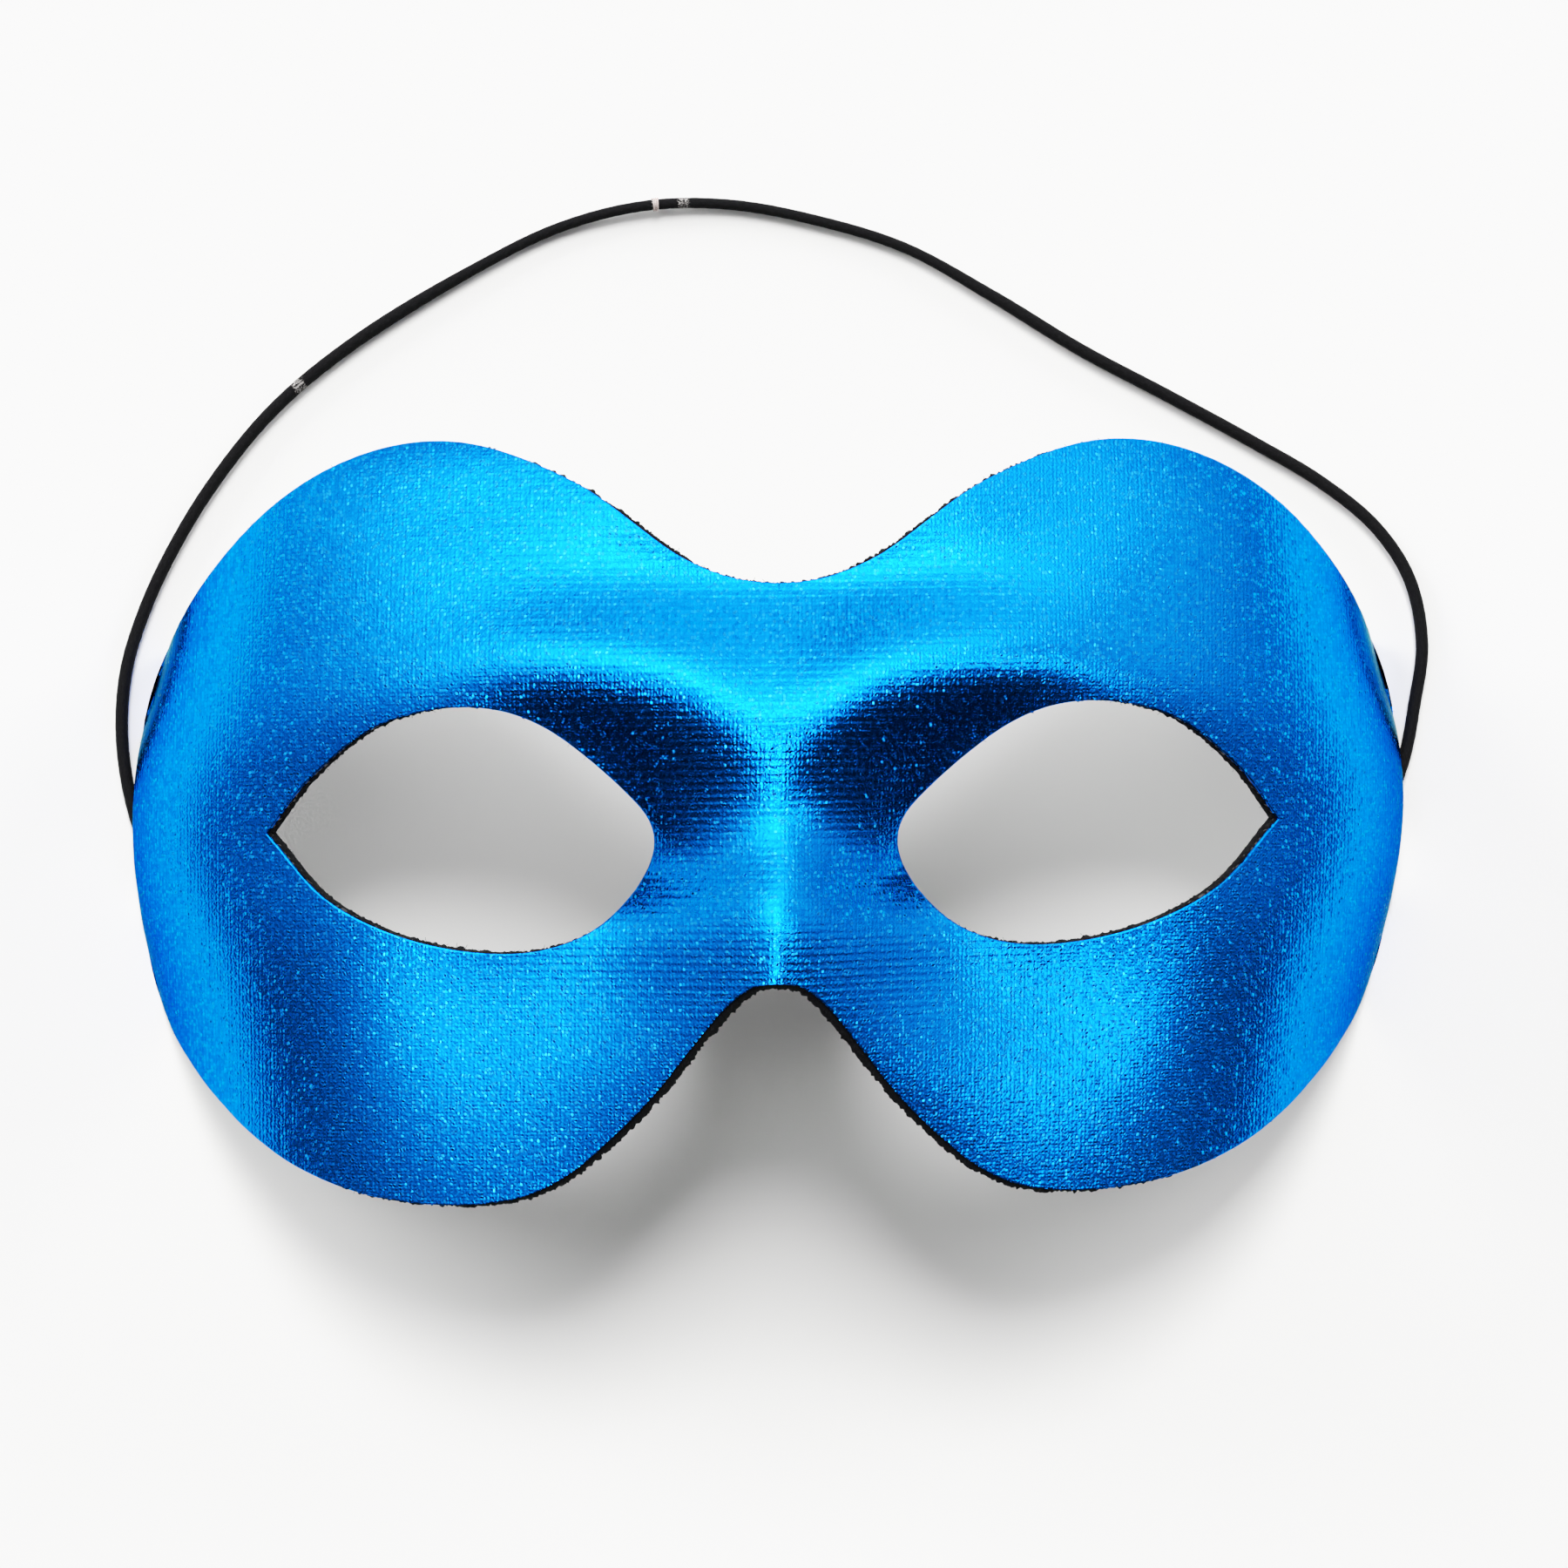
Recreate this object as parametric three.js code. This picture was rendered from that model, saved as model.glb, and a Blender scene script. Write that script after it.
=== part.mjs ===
// An eye mask of thin formed plastic, covered with foil-coated knit and lined with felt, lying face up.
// Millimetres: +X across the face, +Y up to the brow, +Z out of the face, and the table is Z = 0.

import * as THREE from 'three';

// Layers, from the front of the cloth to the back of the felt
const CLOTH_THICKNESS = 0.4;
const SHELL_THICKNESS = 0.8;
const FELT_THICKNESS = 0.8;

// Half of the outline, seen from above, from the notch between the brows round to the top of the nose arch
const HALF_OUTLINE = [
  [0, 30.8], [12, 33.8], [27, 44.3], [42.7, 49.9], [57.8, 47.5], [72.1, 38], [84.2, 22.1], [87.4, 2],
  [84.9, -19.6], [78.5, -31.9], [65.1, -43.5], [48.9, -48.8], [31.4, -47.8], [18.4, -38.1], [6.2, -23.3],
  [0, -20.6],
];

// An eye hole, from its pointed outer corner over the top, round the inner end and back along the bottom
const EYE_HOLE = [
  [67, -0.8], [61, 6.3], [51.6, 13], [40.2, 15.1], [30.3, 12.5], [19.9, 4.3], [15.9, -1.6], [17.9, -8.1],
  [24.4, -14.2], [33.9, -16.7], [46.5, -15.1], [58.4, -9.7],
];
const EYE_MIDDLE = new THREE.Vector2(41, -0.8);

// The hand-trimmed mask leans a little and is a little taller on its left
const HALF_WIDTH = 87.4;
const LEAN = 0.025;
const TALLER_LEFT = 0.014;
const MIDDLE_OF_LENGTH = 0.43;

// The wrap round the face: a rounded section that narrows away from the temples and falls to brow and cheek
const WRAP = { height: 45.5, halfWidth: 89.5, roundness: 2.45, shoulder: 0.575 };
const BROW_END = { narrowing: 14, fall: 13.7 };
const CHEEK_END = { narrowing: 10.9, fall: 0.8 };
const NARROWING_REACH = 28;
const FALL_REACH = 53;
const FACE_PITCH = 0.086;
const RIM_DROP = 4.7;

// The forms pressed into the wrap
const NOSE = { height: 9.9, y: -19.2, length: 20.6, width: 19.6, roundness: 3.25 };
const NOSE_SPREAD = { width: 3.9, y: -5, length: 22 };
const BROW_RIDGE = { height: 3.25, y: 22, width: 8.1, end: 52 };
const RIDGE_LINE = { dip: 8.8, dipWidth: 12.5, fall: 7.5, reach: 60 };
const SWELLS = {
  noseTip: { height: 2.6, x: 0, y: -8.5, width: 8.9, length: 7.2, turn: 0 },
  noseSide: { height: -5.9, x: 15.9, y: -17.4, width: 13.2, length: 15.4, turn: 0 },
  browValley: { height: -4.6, x: 0, y: 31.6, width: 29.7, length: 7.4, turn: 0 },
  browCrown: { height: -1.6, x: 36.8, y: 41.1, width: 15.5, length: 7.3, turn: 0 },
  underEye: { height: -3.6, x: 39.8, y: -14.7, width: 13.4, length: 20, turn: 0 },
  outerCorner: { height: -1.5, x: 67.6, y: -0.8, width: 15.1, length: 12, turn: 0 },
  eyeSocket: { height: -8.2, x: 20.6, y: -4.7, width: 10.9, length: 6, turn: 0.22 },
  eyeLid: { height: -2.8, x: 16, y: 2.4, width: 20, length: 6.5, turn: 0.55 },
  innerCorner: { height: 1.8, x: 15.8, y: -5.4, width: 6, length: 6.6, turn: 0 },
};

// The mesh: columns round each eye hole and rings from the hole out to the outline and the middle line
const BROW_COLUMNS = 20;
const NOSE_COLUMNS = 7;
const CHEEK_COLUMNS = 24;
const RINGS = [0, 0.1, 0.24, 0.4, 0.58, 0.8, 1];
const CURVE_STEPS = 20;
const SLOPE_STEP = 0.05;

// The elastic cord, its tabs and the thread ring on it
const CORD_DIAMETER = 1.7;
const CORD_SIDES = 8;
const CORD_STEPS = 72;
const CORD_LIFT = CORD_DIAMETER / 2 + 0.05;
const RING_LIFT = CORD_LIFT + 0.25;
const CORD_ROUTE = [
  [-81.3, -8.3, 6.3], [-83, -6.6, 3.6], [-85.1, -3.8, 1.4], [-86.9, 0.2, CORD_LIFT], [-88.5, 7.3, CORD_LIFT],
  [-89, 14.5, CORD_LIFT], [-88.2, 22, CORD_LIFT], [-85.8, 29.5, CORD_LIFT], [-82.2, 37.2, CORD_LIFT],
  [-76.3, 46.8, CORD_LIFT], [-67.7, 57.2, CORD_LIFT], [-56.8, 66.1, CORD_LIFT], [-40.2, 76.1, CORD_LIFT],
  [-27.8, 82, CORD_LIFT], [-16.1, 84.8, RING_LIFT], [-4.5, 84.9, CORD_LIFT], [7.9, 82.5, CORD_LIFT],
  [19.9, 78.6, CORD_LIFT], [31.9, 71.8, CORD_LIFT], [43.9, 64.3, CORD_LIFT], [55.9, 57.8, CORD_LIFT],
  [67.9, 51.1, CORD_LIFT], [77, 45.6, CORD_LIFT], [84.6, 39.2, CORD_LIFT], [89.2, 31.9, CORD_LIFT],
  [90.8, 22.9, CORD_LIFT], [89.6, 14.5, CORD_LIFT], [88.2, 7.6, CORD_LIFT], [86, 1.9, 1.3],
  [83.5, -1.5, 3.6], [81.7, -3.5, 6.4],
];
const TABS = [
  { name: 'cord_tab_left', side: -1, y: -14.7 },
  { name: 'cord_tab_right', side: 1, y: -7.6 },
];
const TAB_LENGTH = 10;
const TAB_FROM_X = 79.2;
const TAB_TO_X = 83.4;
const TAB_THICKNESS = 2;
const TAB_STEPS = 3;
const TAB_GAP = 0.9;
const THREAD_RING = { at: 0.4605, length: 0.9, thickness: 0.15, slack: 0.05, sides: 10 };

// Finishes
const cloth = new THREE.MeshStandardMaterial({ color: 0x0078d7, roughness: 0.38, metalness: 0.9 });
const plastic = new THREE.MeshStandardMaterial({ color: 0x141414, roughness: 0.45, metalness: 0 });
const felt = new THREE.MeshStandardMaterial({ color: 0x0c0c0d, roughness: 0.95, metalness: 0 });
const elastic = new THREE.MeshStandardMaterial({ color: 0x101010, roughness: 0.8, metalness: 0 });
const thread = new THREE.MeshStandardMaterial({ color: 0xd9cfc9, roughness: 0.8, metalness: 0 });

function bump(offset, width, power = 2) {
  return Math.exp(-(Math.abs(offset / width) ** power));
}

// A rise or a hollow of the face, its width and length turned a little about its middle
function swellHeight(swell, x, y) {
  const across = (x - swell.x) * Math.cos(swell.turn) + (y - swell.y) * Math.sin(swell.turn);
  const along = (y - swell.y) * Math.cos(swell.turn) - (x - swell.x) * Math.sin(swell.turn);
  return swell.height * bump(across, swell.width) * bump(along, swell.length);
}

function wrapHeight(x, y) {
  const end = y > 0 ? BROW_END : CHEEK_END;
  const away = (y / NARROWING_REACH) ** 2;
  const halfWidth = WRAP.halfWidth - (end.narrowing * away) / (1 + away);
  const inside = 1 - (x / halfWidth) ** WRAP.roundness;
  const wall = Math.sign(inside) * Math.abs(inside) ** WRAP.shoulder;
  const height = WRAP.height - end.fall * (y / FALL_REACH) ** 4;
  return height * wall + FACE_PITCH * y - RIM_DROP;
}

function noseHeight(x, y) {
  const width = NOSE.width - NOSE_SPREAD.width * Math.tanh((y - NOSE_SPREAD.y) / NOSE_SPREAD.length);
  return NOSE.height * bump(y - NOSE.y, NOSE.length) * bump(x, width, NOSE.roundness);
}

function ridgeHeight(x, y) {
  const dip = RIDGE_LINE.dip * bump(x, RIDGE_LINE.dipWidth);
  const line = BROW_RIDGE.y - dip - RIDGE_LINE.fall * (x / RIDGE_LINE.reach) ** 2;
  return BROW_RIDGE.height * bump(y - line, BROW_RIDGE.width) * bump(x, BROW_RIDGE.end, 4);
}

// Height of the cloth's front over the table, x being the distance from the middle line
function frontHeight(x, y) {
  let height = wrapHeight(x, y) + noseHeight(x, y) + ridgeHeight(x, y);
  for (const swell of Object.values(SWELLS)) {
    height += swellHeight(swell, x, y);
  }
  return height;
}

// A point of the cloth's front, x counted to the mask's right
function frontPoint(x, y) {
  const taller = 1 - (TALLER_LEFT * x) / HALF_WIDTH;
  return new THREE.Vector3(x + LEAN * y, y * taller, frontHeight(Math.abs(x), y));
}

// The same point moved back through the layers; what would reach below the table is cut flat there
function layerPoint(x, y, depth) {
  const point = frontPoint(x, y);
  const alongX = frontPoint(x + SLOPE_STEP, y).sub(frontPoint(x - SLOPE_STEP, y));
  const alongY = frontPoint(x, y + SLOPE_STEP).sub(frontPoint(x, y - SLOPE_STEP));
  const outward = alongX.cross(alongY).normalize();
  point.addScaledVector(outward, -depth);
  point.z = Math.max(point.z, 0);
  return point;
}

// Points along a smooth curve through the knots
function smoothLine(knots, closed) {
  const points = knots.map(([x, y]) => new THREE.Vector3(x, y, 0));
  const curve = new THREE.CatmullRomCurve3(points, closed, 'catmullrom', 0.5);
  const spans = closed ? points.length : points.length - 1;
  return curve.getPoints(spans * CURVE_STEPS);
}

function halfOutline() {
  const mirrored = HALF_OUTLINE.slice(1, -1).reverse().map(([x, y]) => [-x, y]);
  const line = smoothLine([...HALF_OUTLINE, ...mirrored], true);
  return line.slice(0, (HALF_OUTLINE.length - 1) * CURVE_STEPS + 1);
}

// Evenly spaced points on a polyline, both ends included
function spread(line, count) {
  const lengths = [0];
  for (let i = 1; i < line.length; i += 1) {
    lengths.push(lengths[i - 1] + line[i].distanceTo(line[i - 1]));
  }
  const points = [];
  for (let k = 0; k <= count; k += 1) {
    const wanted = (lengths[lengths.length - 1] * k) / count;
    let i = 1;
    while (i < line.length - 1 && lengths[i] < wanted) {
      i += 1;
    }
    const share = (wanted - lengths[i - 1]) / (lengths[i] - lengths[i - 1]);
    points.push(line[i - 1].clone().lerp(line[i], share));
  }
  return points;
}

function turnRoundEye(point) {
  const angle = Math.atan2(point.y - EYE_MIDDLE.y, point.x - EYE_MIDDLE.x);
  return angle < -1e-9 ? angle + 2 * Math.PI : Math.max(angle, 0);
}

// The point of the eye hole's edge that lies in the same direction from the eye's middle
function edgeTowards(line, angle) {
  const turns = line.map(turnRoundEye);
  turns[0] = 0;
  turns[turns.length - 1] = 2 * Math.PI;
  let i = 1;
  while (i < line.length - 1 && turns[i] < angle) {
    i += 1;
  }
  const share = (angle - turns[i - 1]) / (turns[i] - turns[i - 1]);
  return line[i - 1].clone().lerp(line[i], share);
}

// Columns of one half: each has a point on the eye hole's edge and one on the outline or the middle line
function halfColumns() {
  const outline = halfOutline();
  const eyeLine = smoothLine([...EYE_HOLE, EYE_HOLE[0]], false);
  const split = outline.findIndex((point) => point.x > EYE_MIDDLE.x && point.y < EYE_MIDDLE.y);
  const before = outline[split - 1];
  const after = outline[split];
  const share = (before.y - EYE_MIDDLE.y) / (before.y - after.y);
  const temple = before.clone().lerp(after, share);
  const brow = spread([temple, ...outline.slice(0, split).reverse()], BROW_COLUMNS);
  const middle = spread([outline[0], outline[outline.length - 1]], NOSE_COLUMNS);
  const cheek = spread([...outline.slice(split).reverse(), temple], CHEEK_COLUMNS);
  const far = [...brow, ...middle.slice(1), ...cheek.slice(1, -1)];
  return far.map((outer) => ({ outer, inner: edgeTowards(eyeLine, turnRoundEye(outer)) }));
}

// A closed solid between two depths of the laminate, made of both halves joined at the middle line
function laminateGeometry(frontDepth, backDepth) {
  const columns = halfColumns();
  const lastRing = RINGS.length - 1;
  const positions = [];
  const indices = [];
  const known = new Map();
  const onMiddle = (column) => column >= BROW_COLUMNS && column <= BROW_COLUMNS + NOSE_COLUMNS;

  function vertex(side, column, ring, depth) {
    const shared = ring === lastRing && onMiddle(column);
    const key = [shared ? 0 : side, column, ring, depth].join();
    if (!known.has(key)) {
      const { inner, outer } = columns[column];
      const flat = inner.clone().lerp(outer, RINGS[ring]);
      const point = layerPoint(side * flat.x, flat.y, depth);
      known.set(key, positions.length / 3);
      positions.push(point.x, point.y, point.z);
    }
    return known.get(key);
  }

  function quad(a, b, c, d, flipped) {
    if (flipped) {
      indices.push(a, c, b, a, d, c);
    } else {
      indices.push(a, b, c, a, c, d);
    }
  }

  for (const side of [-1, 1]) {
    const flipped = side < 0;
    for (let column = 0; column < columns.length; column += 1) {
      const next = (column + 1) % columns.length;
      const at = (who, ring, depth) => vertex(side, who, ring, depth);
      for (let ring = 0; ring < lastRing; ring += 1) {
        quad(at(column, ring, frontDepth), at(column, ring + 1, frontDepth),
          at(next, ring + 1, frontDepth), at(next, ring, frontDepth), flipped);
        quad(at(column, ring, backDepth), at(next, ring, backDepth),
          at(next, ring + 1, backDepth), at(column, ring + 1, backDepth), flipped);
      }
      quad(at(column, 0, frontDepth), at(next, 0, frontDepth),
        at(next, 0, backDepth), at(column, 0, backDepth), flipped);
      if (!(onMiddle(column) && onMiddle(next))) {
        quad(at(column, lastRing, frontDepth), at(column, lastRing, backDepth),
          at(next, lastRing, backDepth), at(next, lastRing, frontDepth), flipped);
      }
    }
  }
  const geometry = new THREE.BufferGeometry();
  geometry.setAttribute('position', new THREE.Float32BufferAttribute(positions, 3));
  geometry.setIndex(indices);
  geometry.computeVertexNormals();
  return geometry;
}

// A felt tab that follows the inside of the temple, a gap behind the lining
function tabGeometry({ side, y }) {
  const nearDepth = CLOTH_THICKNESS + SHELL_THICKNESS + FELT_THICKNESS + TAB_GAP;
  const corner = (i, j, k) => layerPoint(
    side * (TAB_FROM_X + ((TAB_TO_X - TAB_FROM_X) * i) / TAB_STEPS),
    y + TAB_LENGTH * (j / TAB_STEPS - 0.5),
    nearDepth + TAB_THICKNESS * k,
  );
  const positions = [];
  const indices = [];
  const number = (i, j, k) => (i * (TAB_STEPS + 1) + j) * 2 + k;
  for (let i = 0; i <= TAB_STEPS; i += 1) {
    for (let j = 0; j <= TAB_STEPS; j += 1) {
      for (let k = 0; k <= 1; k += 1) {
        positions.push(...corner(i, j, k).toArray());
      }
    }
  }
  const quad = (a, b, c, d) => {
    if (side > 0) {
      indices.push(a, b, c, a, c, d);
    } else {
      indices.push(a, c, b, a, d, c);
    }
  };
  for (let i = 0; i < TAB_STEPS; i += 1) {
    for (let j = 0; j < TAB_STEPS; j += 1) {
      quad(number(i, j, 0), number(i + 1, j, 0), number(i + 1, j + 1, 0), number(i, j + 1, 0));
      quad(number(i, j, 1), number(i, j + 1, 1), number(i + 1, j + 1, 1), number(i + 1, j, 1));
    }
    quad(number(i, 0, 0), number(i, 0, 1), number(i + 1, 0, 1), number(i + 1, 0, 0));
    quad(number(i, TAB_STEPS, 0), number(i + 1, TAB_STEPS, 0),
      number(i + 1, TAB_STEPS, 1), number(i, TAB_STEPS, 1));
    quad(number(0, i, 0), number(0, i + 1, 0), number(0, i + 1, 1), number(0, i, 1));
    quad(number(TAB_STEPS, i, 0), number(TAB_STEPS, i, 1),
      number(TAB_STEPS, i + 1, 1), number(TAB_STEPS, i + 1, 0));
  }
  const geometry = new THREE.BufferGeometry();
  geometry.setAttribute('position', new THREE.Float32BufferAttribute(positions, 3));
  geometry.setIndex(indices);
  geometry.computeVertexNormals();
  return geometry;
}

const cordCurve = new THREE.CatmullRomCurve3(CORD_ROUTE.map((point) => new THREE.Vector3(...point)));

function roundSection(radius, sides, hole = 0) {
  const section = new THREE.Shape();
  const corner = (i, size) => {
    const angle = (2 * Math.PI * (i + 0.5)) / sides;
    return new THREE.Vector2(size * Math.cos(angle), size * Math.sin(angle));
  };
  section.setFromPoints(Array.from({ length: sides }, (_, i) => corner(i, radius)));
  if (hole > 0) {
    const bore = Array.from({ length: sides }, (_, i) => corner(sides - i, hole));
    section.holes.push(new THREE.Path(bore));
  }
  return section;
}

function cordGeometry() {
  const section = roundSection(CORD_DIAMETER / 2, CORD_SIDES);
  return new THREE.ExtrudeGeometry(section, { steps: CORD_STEPS, extrudePath: cordCurve });
}

// The thread ring is drawn along Z and turned onto the cord
function threadRingMesh() {
  const inner = CORD_DIAMETER / 2 + THREAD_RING.slack;
  const section = roundSection(inner + THREAD_RING.thickness, THREAD_RING.sides, inner);
  const geometry = new THREE.ExtrudeGeometry(section, { depth: THREAD_RING.length, bevelEnabled: false });
  geometry.translate(0, 0, -THREAD_RING.length / 2);
  const ring = new THREE.Mesh(geometry, thread);
  ring.position.copy(cordCurve.getPointAt(THREAD_RING.at));
  ring.quaternion.setFromUnitVectors(new THREE.Vector3(0, 0, 1), cordCurve.getTangentAt(THREAD_RING.at));
  return ring;
}

const mask = new THREE.Group();
mask.position.y = -MIDDLE_OF_LENGTH;

function addPiece(name, mesh) {
  mesh.name = name;
  mask.add(mesh);
}

const shellFront = CLOTH_THICKNESS;
const feltFront = CLOTH_THICKNESS + SHELL_THICKNESS;
const feltBack = feltFront + FELT_THICKNESS;
addPiece('face_cloth', new THREE.Mesh(laminateGeometry(0, shellFront), cloth));
addPiece('plastic_shell', new THREE.Mesh(laminateGeometry(shellFront, feltFront), plastic));
addPiece('felt_lining', new THREE.Mesh(laminateGeometry(feltFront, feltBack), felt));
for (const tab of TABS) {
  addPiece(tab.name, new THREE.Mesh(tabGeometry(tab), felt));
}
addPiece('elastic_cord', new THREE.Mesh(cordGeometry(), elastic));
addPiece('thread_ring', threadRingMesh());

export default mask;
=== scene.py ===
"""Looks of a half-face eye mask, built round its packed construction.

The mask is a thin formed plastic shell under blue foil-coated knit and is lined with black felt. It lies
face up on its temples, with its elastic head cord on the table behind the brow. Sizes are in metres: +X runs
across the face, +Y up to the brow and +Z out of the face, and the table is Z = 0.
"""

import logging
import math
from dataclasses import dataclass
from enum import Enum

import bpy
import numpy as np
from mathutils import Matrix, Vector
from mathutils.kdtree import KDTree


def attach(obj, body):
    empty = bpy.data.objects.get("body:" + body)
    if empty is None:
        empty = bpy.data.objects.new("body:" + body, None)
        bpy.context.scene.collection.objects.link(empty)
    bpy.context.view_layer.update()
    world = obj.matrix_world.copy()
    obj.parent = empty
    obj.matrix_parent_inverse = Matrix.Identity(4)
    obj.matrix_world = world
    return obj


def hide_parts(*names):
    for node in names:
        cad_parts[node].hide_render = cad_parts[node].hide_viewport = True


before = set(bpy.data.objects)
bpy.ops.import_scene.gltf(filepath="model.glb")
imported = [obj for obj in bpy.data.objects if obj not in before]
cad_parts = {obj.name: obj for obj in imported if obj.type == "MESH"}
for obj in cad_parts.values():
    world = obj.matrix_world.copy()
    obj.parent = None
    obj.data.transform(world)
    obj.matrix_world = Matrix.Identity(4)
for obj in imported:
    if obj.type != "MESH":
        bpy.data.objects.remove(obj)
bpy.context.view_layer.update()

Array = np.ndarray
Colour = tuple[float, float, float, float]
Socket = bpy.types.NodeSocket
Inputs = dict[str | int, object]
log = logging.getLogger("eye_mask")

MM = 0.001
ROUNDING = 1e-9
BODY = "root"
FLAT_MAP = "Flat"
WEAR = "wear"


class Side(Enum):
    """The mask's two halves, by the sign of X."""

    LEFT = -1
    RIGHT = 1


class Slot(Enum):
    """The record's material slots."""

    FACE_CLOTH = "face_cloth"
    SHELL = "plastic_shell"
    FELT = "felt"
    ELASTIC = "elastic"
    THREAD = "thread"


class Layer(Enum):
    """The laminate's layers, as depths of their front and back behind the cloth's front."""

    CLOTH = (0.0, 0.0004)
    PLASTIC = (0.0004, 0.0012)
    FELT = (0.0012, 0.0020)


# Curves and meshes


def hermite_spans(starts: Array, ends: Array, leaving: Array, arriving: Array, steps: int) -> Array:
    """Samples cubic spans that lie end to end.

    Args:
        starts: The point where each span starts.
        ends: The point where each span ends.
        leaving: The slope at each start, for a span that lasts from 0 to 1.
        arriving: The slope at each end.
        steps: How many points each span gives, its end left out.

    Returns:
        The points, with the last span's end.
    """
    t = np.linspace(0, 1, steps, endpoint=False)[:, None]
    by_start, by_end = 2 * t**3 - 3 * t**2 + 1, 3 * t**2 - 2 * t**3
    by_leaving, by_arriving = t**3 - 2 * t**2 + t, t**3 - t**2
    spans = [
        by_start * a + by_leaving * u + by_end * b + by_arriving * v
        for a, b, u, v in zip(starts, ends, leaving, arriving)
    ]
    return np.vstack([*spans, ends[-1:]])


def overrun(knots: Array) -> Array:
    """The knots with one more straight on before the first and after the last."""
    return np.vstack([2 * knots[0] - knots[1], knots, 2 * knots[-1] - knots[-2]])


def smooth_line(knots: Array, closed: bool, steps: int = 20) -> Array:
    """Samples an even Catmull-Rom curve through knots.

    Args:
        knots: The points that the curve goes through.
        closed: Whether the curve returns to its first knot.
        steps: How many points each span gives.

    Returns:
        The points from the first knot to the last, or back to the first.
    """
    line = np.vstack([knots[-1:], knots, knots[:2]]) if closed else overrun(knots)
    slopes = (line[2:] - line[:-2]) / 2
    return hermite_spans(line[1:-2], line[2:-1], slopes[:-1], slopes[1:], steps)


def centripetal_line(knots: Array, steps: int = 40) -> Array:
    """Samples a centripetal Catmull-Rom curve through knots.

    Args:
        knots: The points that the curve goes through.
        steps: How many points each span gives.

    Returns:
        The points from the first knot to the last.
    """
    line = overrun(knots)
    gaps = np.sqrt(np.linalg.norm(np.diff(line, axis=0), axis=1))[:, None]
    paces = np.diff(line, axis=0) / gaps
    slopes = paces[:-1] - (line[2:] - line[:-2]) / (gaps[:-1] + gaps[1:]) + paces[1:]
    here = gaps[1:-1]
    return hermite_spans(line[1:-2], line[2:-1], slopes[:-1] * here, slopes[1:] * here, steps)


def run_along(line: Array) -> Array:
    """The distance from a line's start to each of its points."""
    return np.concatenate([[0.0], np.cumsum(np.linalg.norm(np.diff(line, axis=0), axis=1))])


def along_line(wanted: Array, line: Array) -> Array:
    """The points of a line that lie at some distances from its start."""
    run = run_along(line)
    return np.stack([np.interp(wanted, run, line[:, axis]) for axis in range(line.shape[1])], axis=1)


def spread(line: Array, count: int) -> Array:
    """The count + 1 points at even distances along a line, both ends included."""
    return along_line(np.linspace(0, run_along(line)[-1], count + 1), line)


def bump(offset: Array, width: Array | float, power: float = 2.0) -> Array:
    """A smooth rise that is 1 in the middle and falls to nothing a width or two away."""
    return np.exp(-(np.abs(offset / width) ** power))


def unit(vectors: Array) -> Array:
    """The vectors at length 1."""
    return vectors / np.linalg.norm(vectors, axis=-1, keepdims=True)


def round_turn(sides: int) -> Array:
    """Even angles round a full turn, the last left out."""
    return 2 * math.pi * np.arange(sides) / sides


def quads(*corners: Array) -> Array:
    """Faces from four like grids of point numbers, one for each corner."""
    return np.stack([corner.ravel() for corner in corners], axis=1)


def tube_faces(count: int, sides: int) -> list[list[int]]:
    """The faces of a closed tube whose rings turn counterclockwise, seen along its heading.

    Args:
        count: How many rings of points it has.
        sides: How many points a ring has.

    Returns:
        Each face's point numbers.
    """
    number = np.arange(count * sides).reshape(count, sides)
    beside = np.roll(number, -1, axis=1)
    walls = quads(number[:-1], number[1:], beside[1:], beside[:-1])
    return walls.tolist() + [number[0].tolist(), number[-1][::-1].tolist()]


def make_piece(
    name: str,
    vertices: Array,
    faces: list[list[int]],
    material: bpy.types.Material,
    flat: Array | None = None,
    crease: float = 40.0,
) -> bpy.types.Object:
    """Makes a mesh object in the scene.

    Args:
        name: The object's name.
        vertices: The points.
        faces: Each face's vertex numbers, turned so that it faces out.
        material: The finish.
        flat: Each vertex's place on the flat material, in metres, kept as a UV map.
        crease: The angle in degrees past which an edge stays sharp.

    Returns:
        The object, with its place in its mesh.
    """
    mesh = bpy.data.meshes.new(name)
    mesh.from_pydata(vertices.tolist(), [], faces)
    mesh.materials.append(material)
    if flat is not None:
        corners = np.zeros(len(mesh.loops), dtype=np.int32)
        mesh.loops.foreach_get("vertex_index", corners)
        layer = mesh.uv_layers.new(name=FLAT_MAP)
        layer.data.foreach_set("uv", flat[corners].astype(np.float32).ravel())
    mesh.polygons.foreach_set("use_smooth", np.ones(len(mesh.polygons), dtype=bool))
    mesh.set_sharp_from_angle(angle=math.radians(crease))
    mesh.update()
    return add_object(name, mesh)


def add_object(name: str, data: bpy.types.ID) -> bpy.types.Object:
    """Adds an object to the scene.

    Args:
        name: The object's name.
        data: Its mesh, light or camera.

    Returns:
        The object.
    """
    made = bpy.data.objects.new(name, data)
    bpy.context.scene.collection.objects.link(made)
    return made


def settle(piece: bpy.types.Object, slot: Slot, *nodes: str) -> bpy.types.Object:
    """Lets a finished piece ride on the mask and stand for its solids.

    Args:
        piece: The piece.
        slot: Not used.
        nodes: The solids that it stands for.

    Returns:
        The piece.
    """
    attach(piece, BODY)
    if nodes:
        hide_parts(*nodes)
    solids = ", ".join(nodes) or "nothing"
    log.info("%s: %d faces, stands for %s", piece.name, len(piece.data.polygons), solids)
    return piece


# The form


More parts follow.
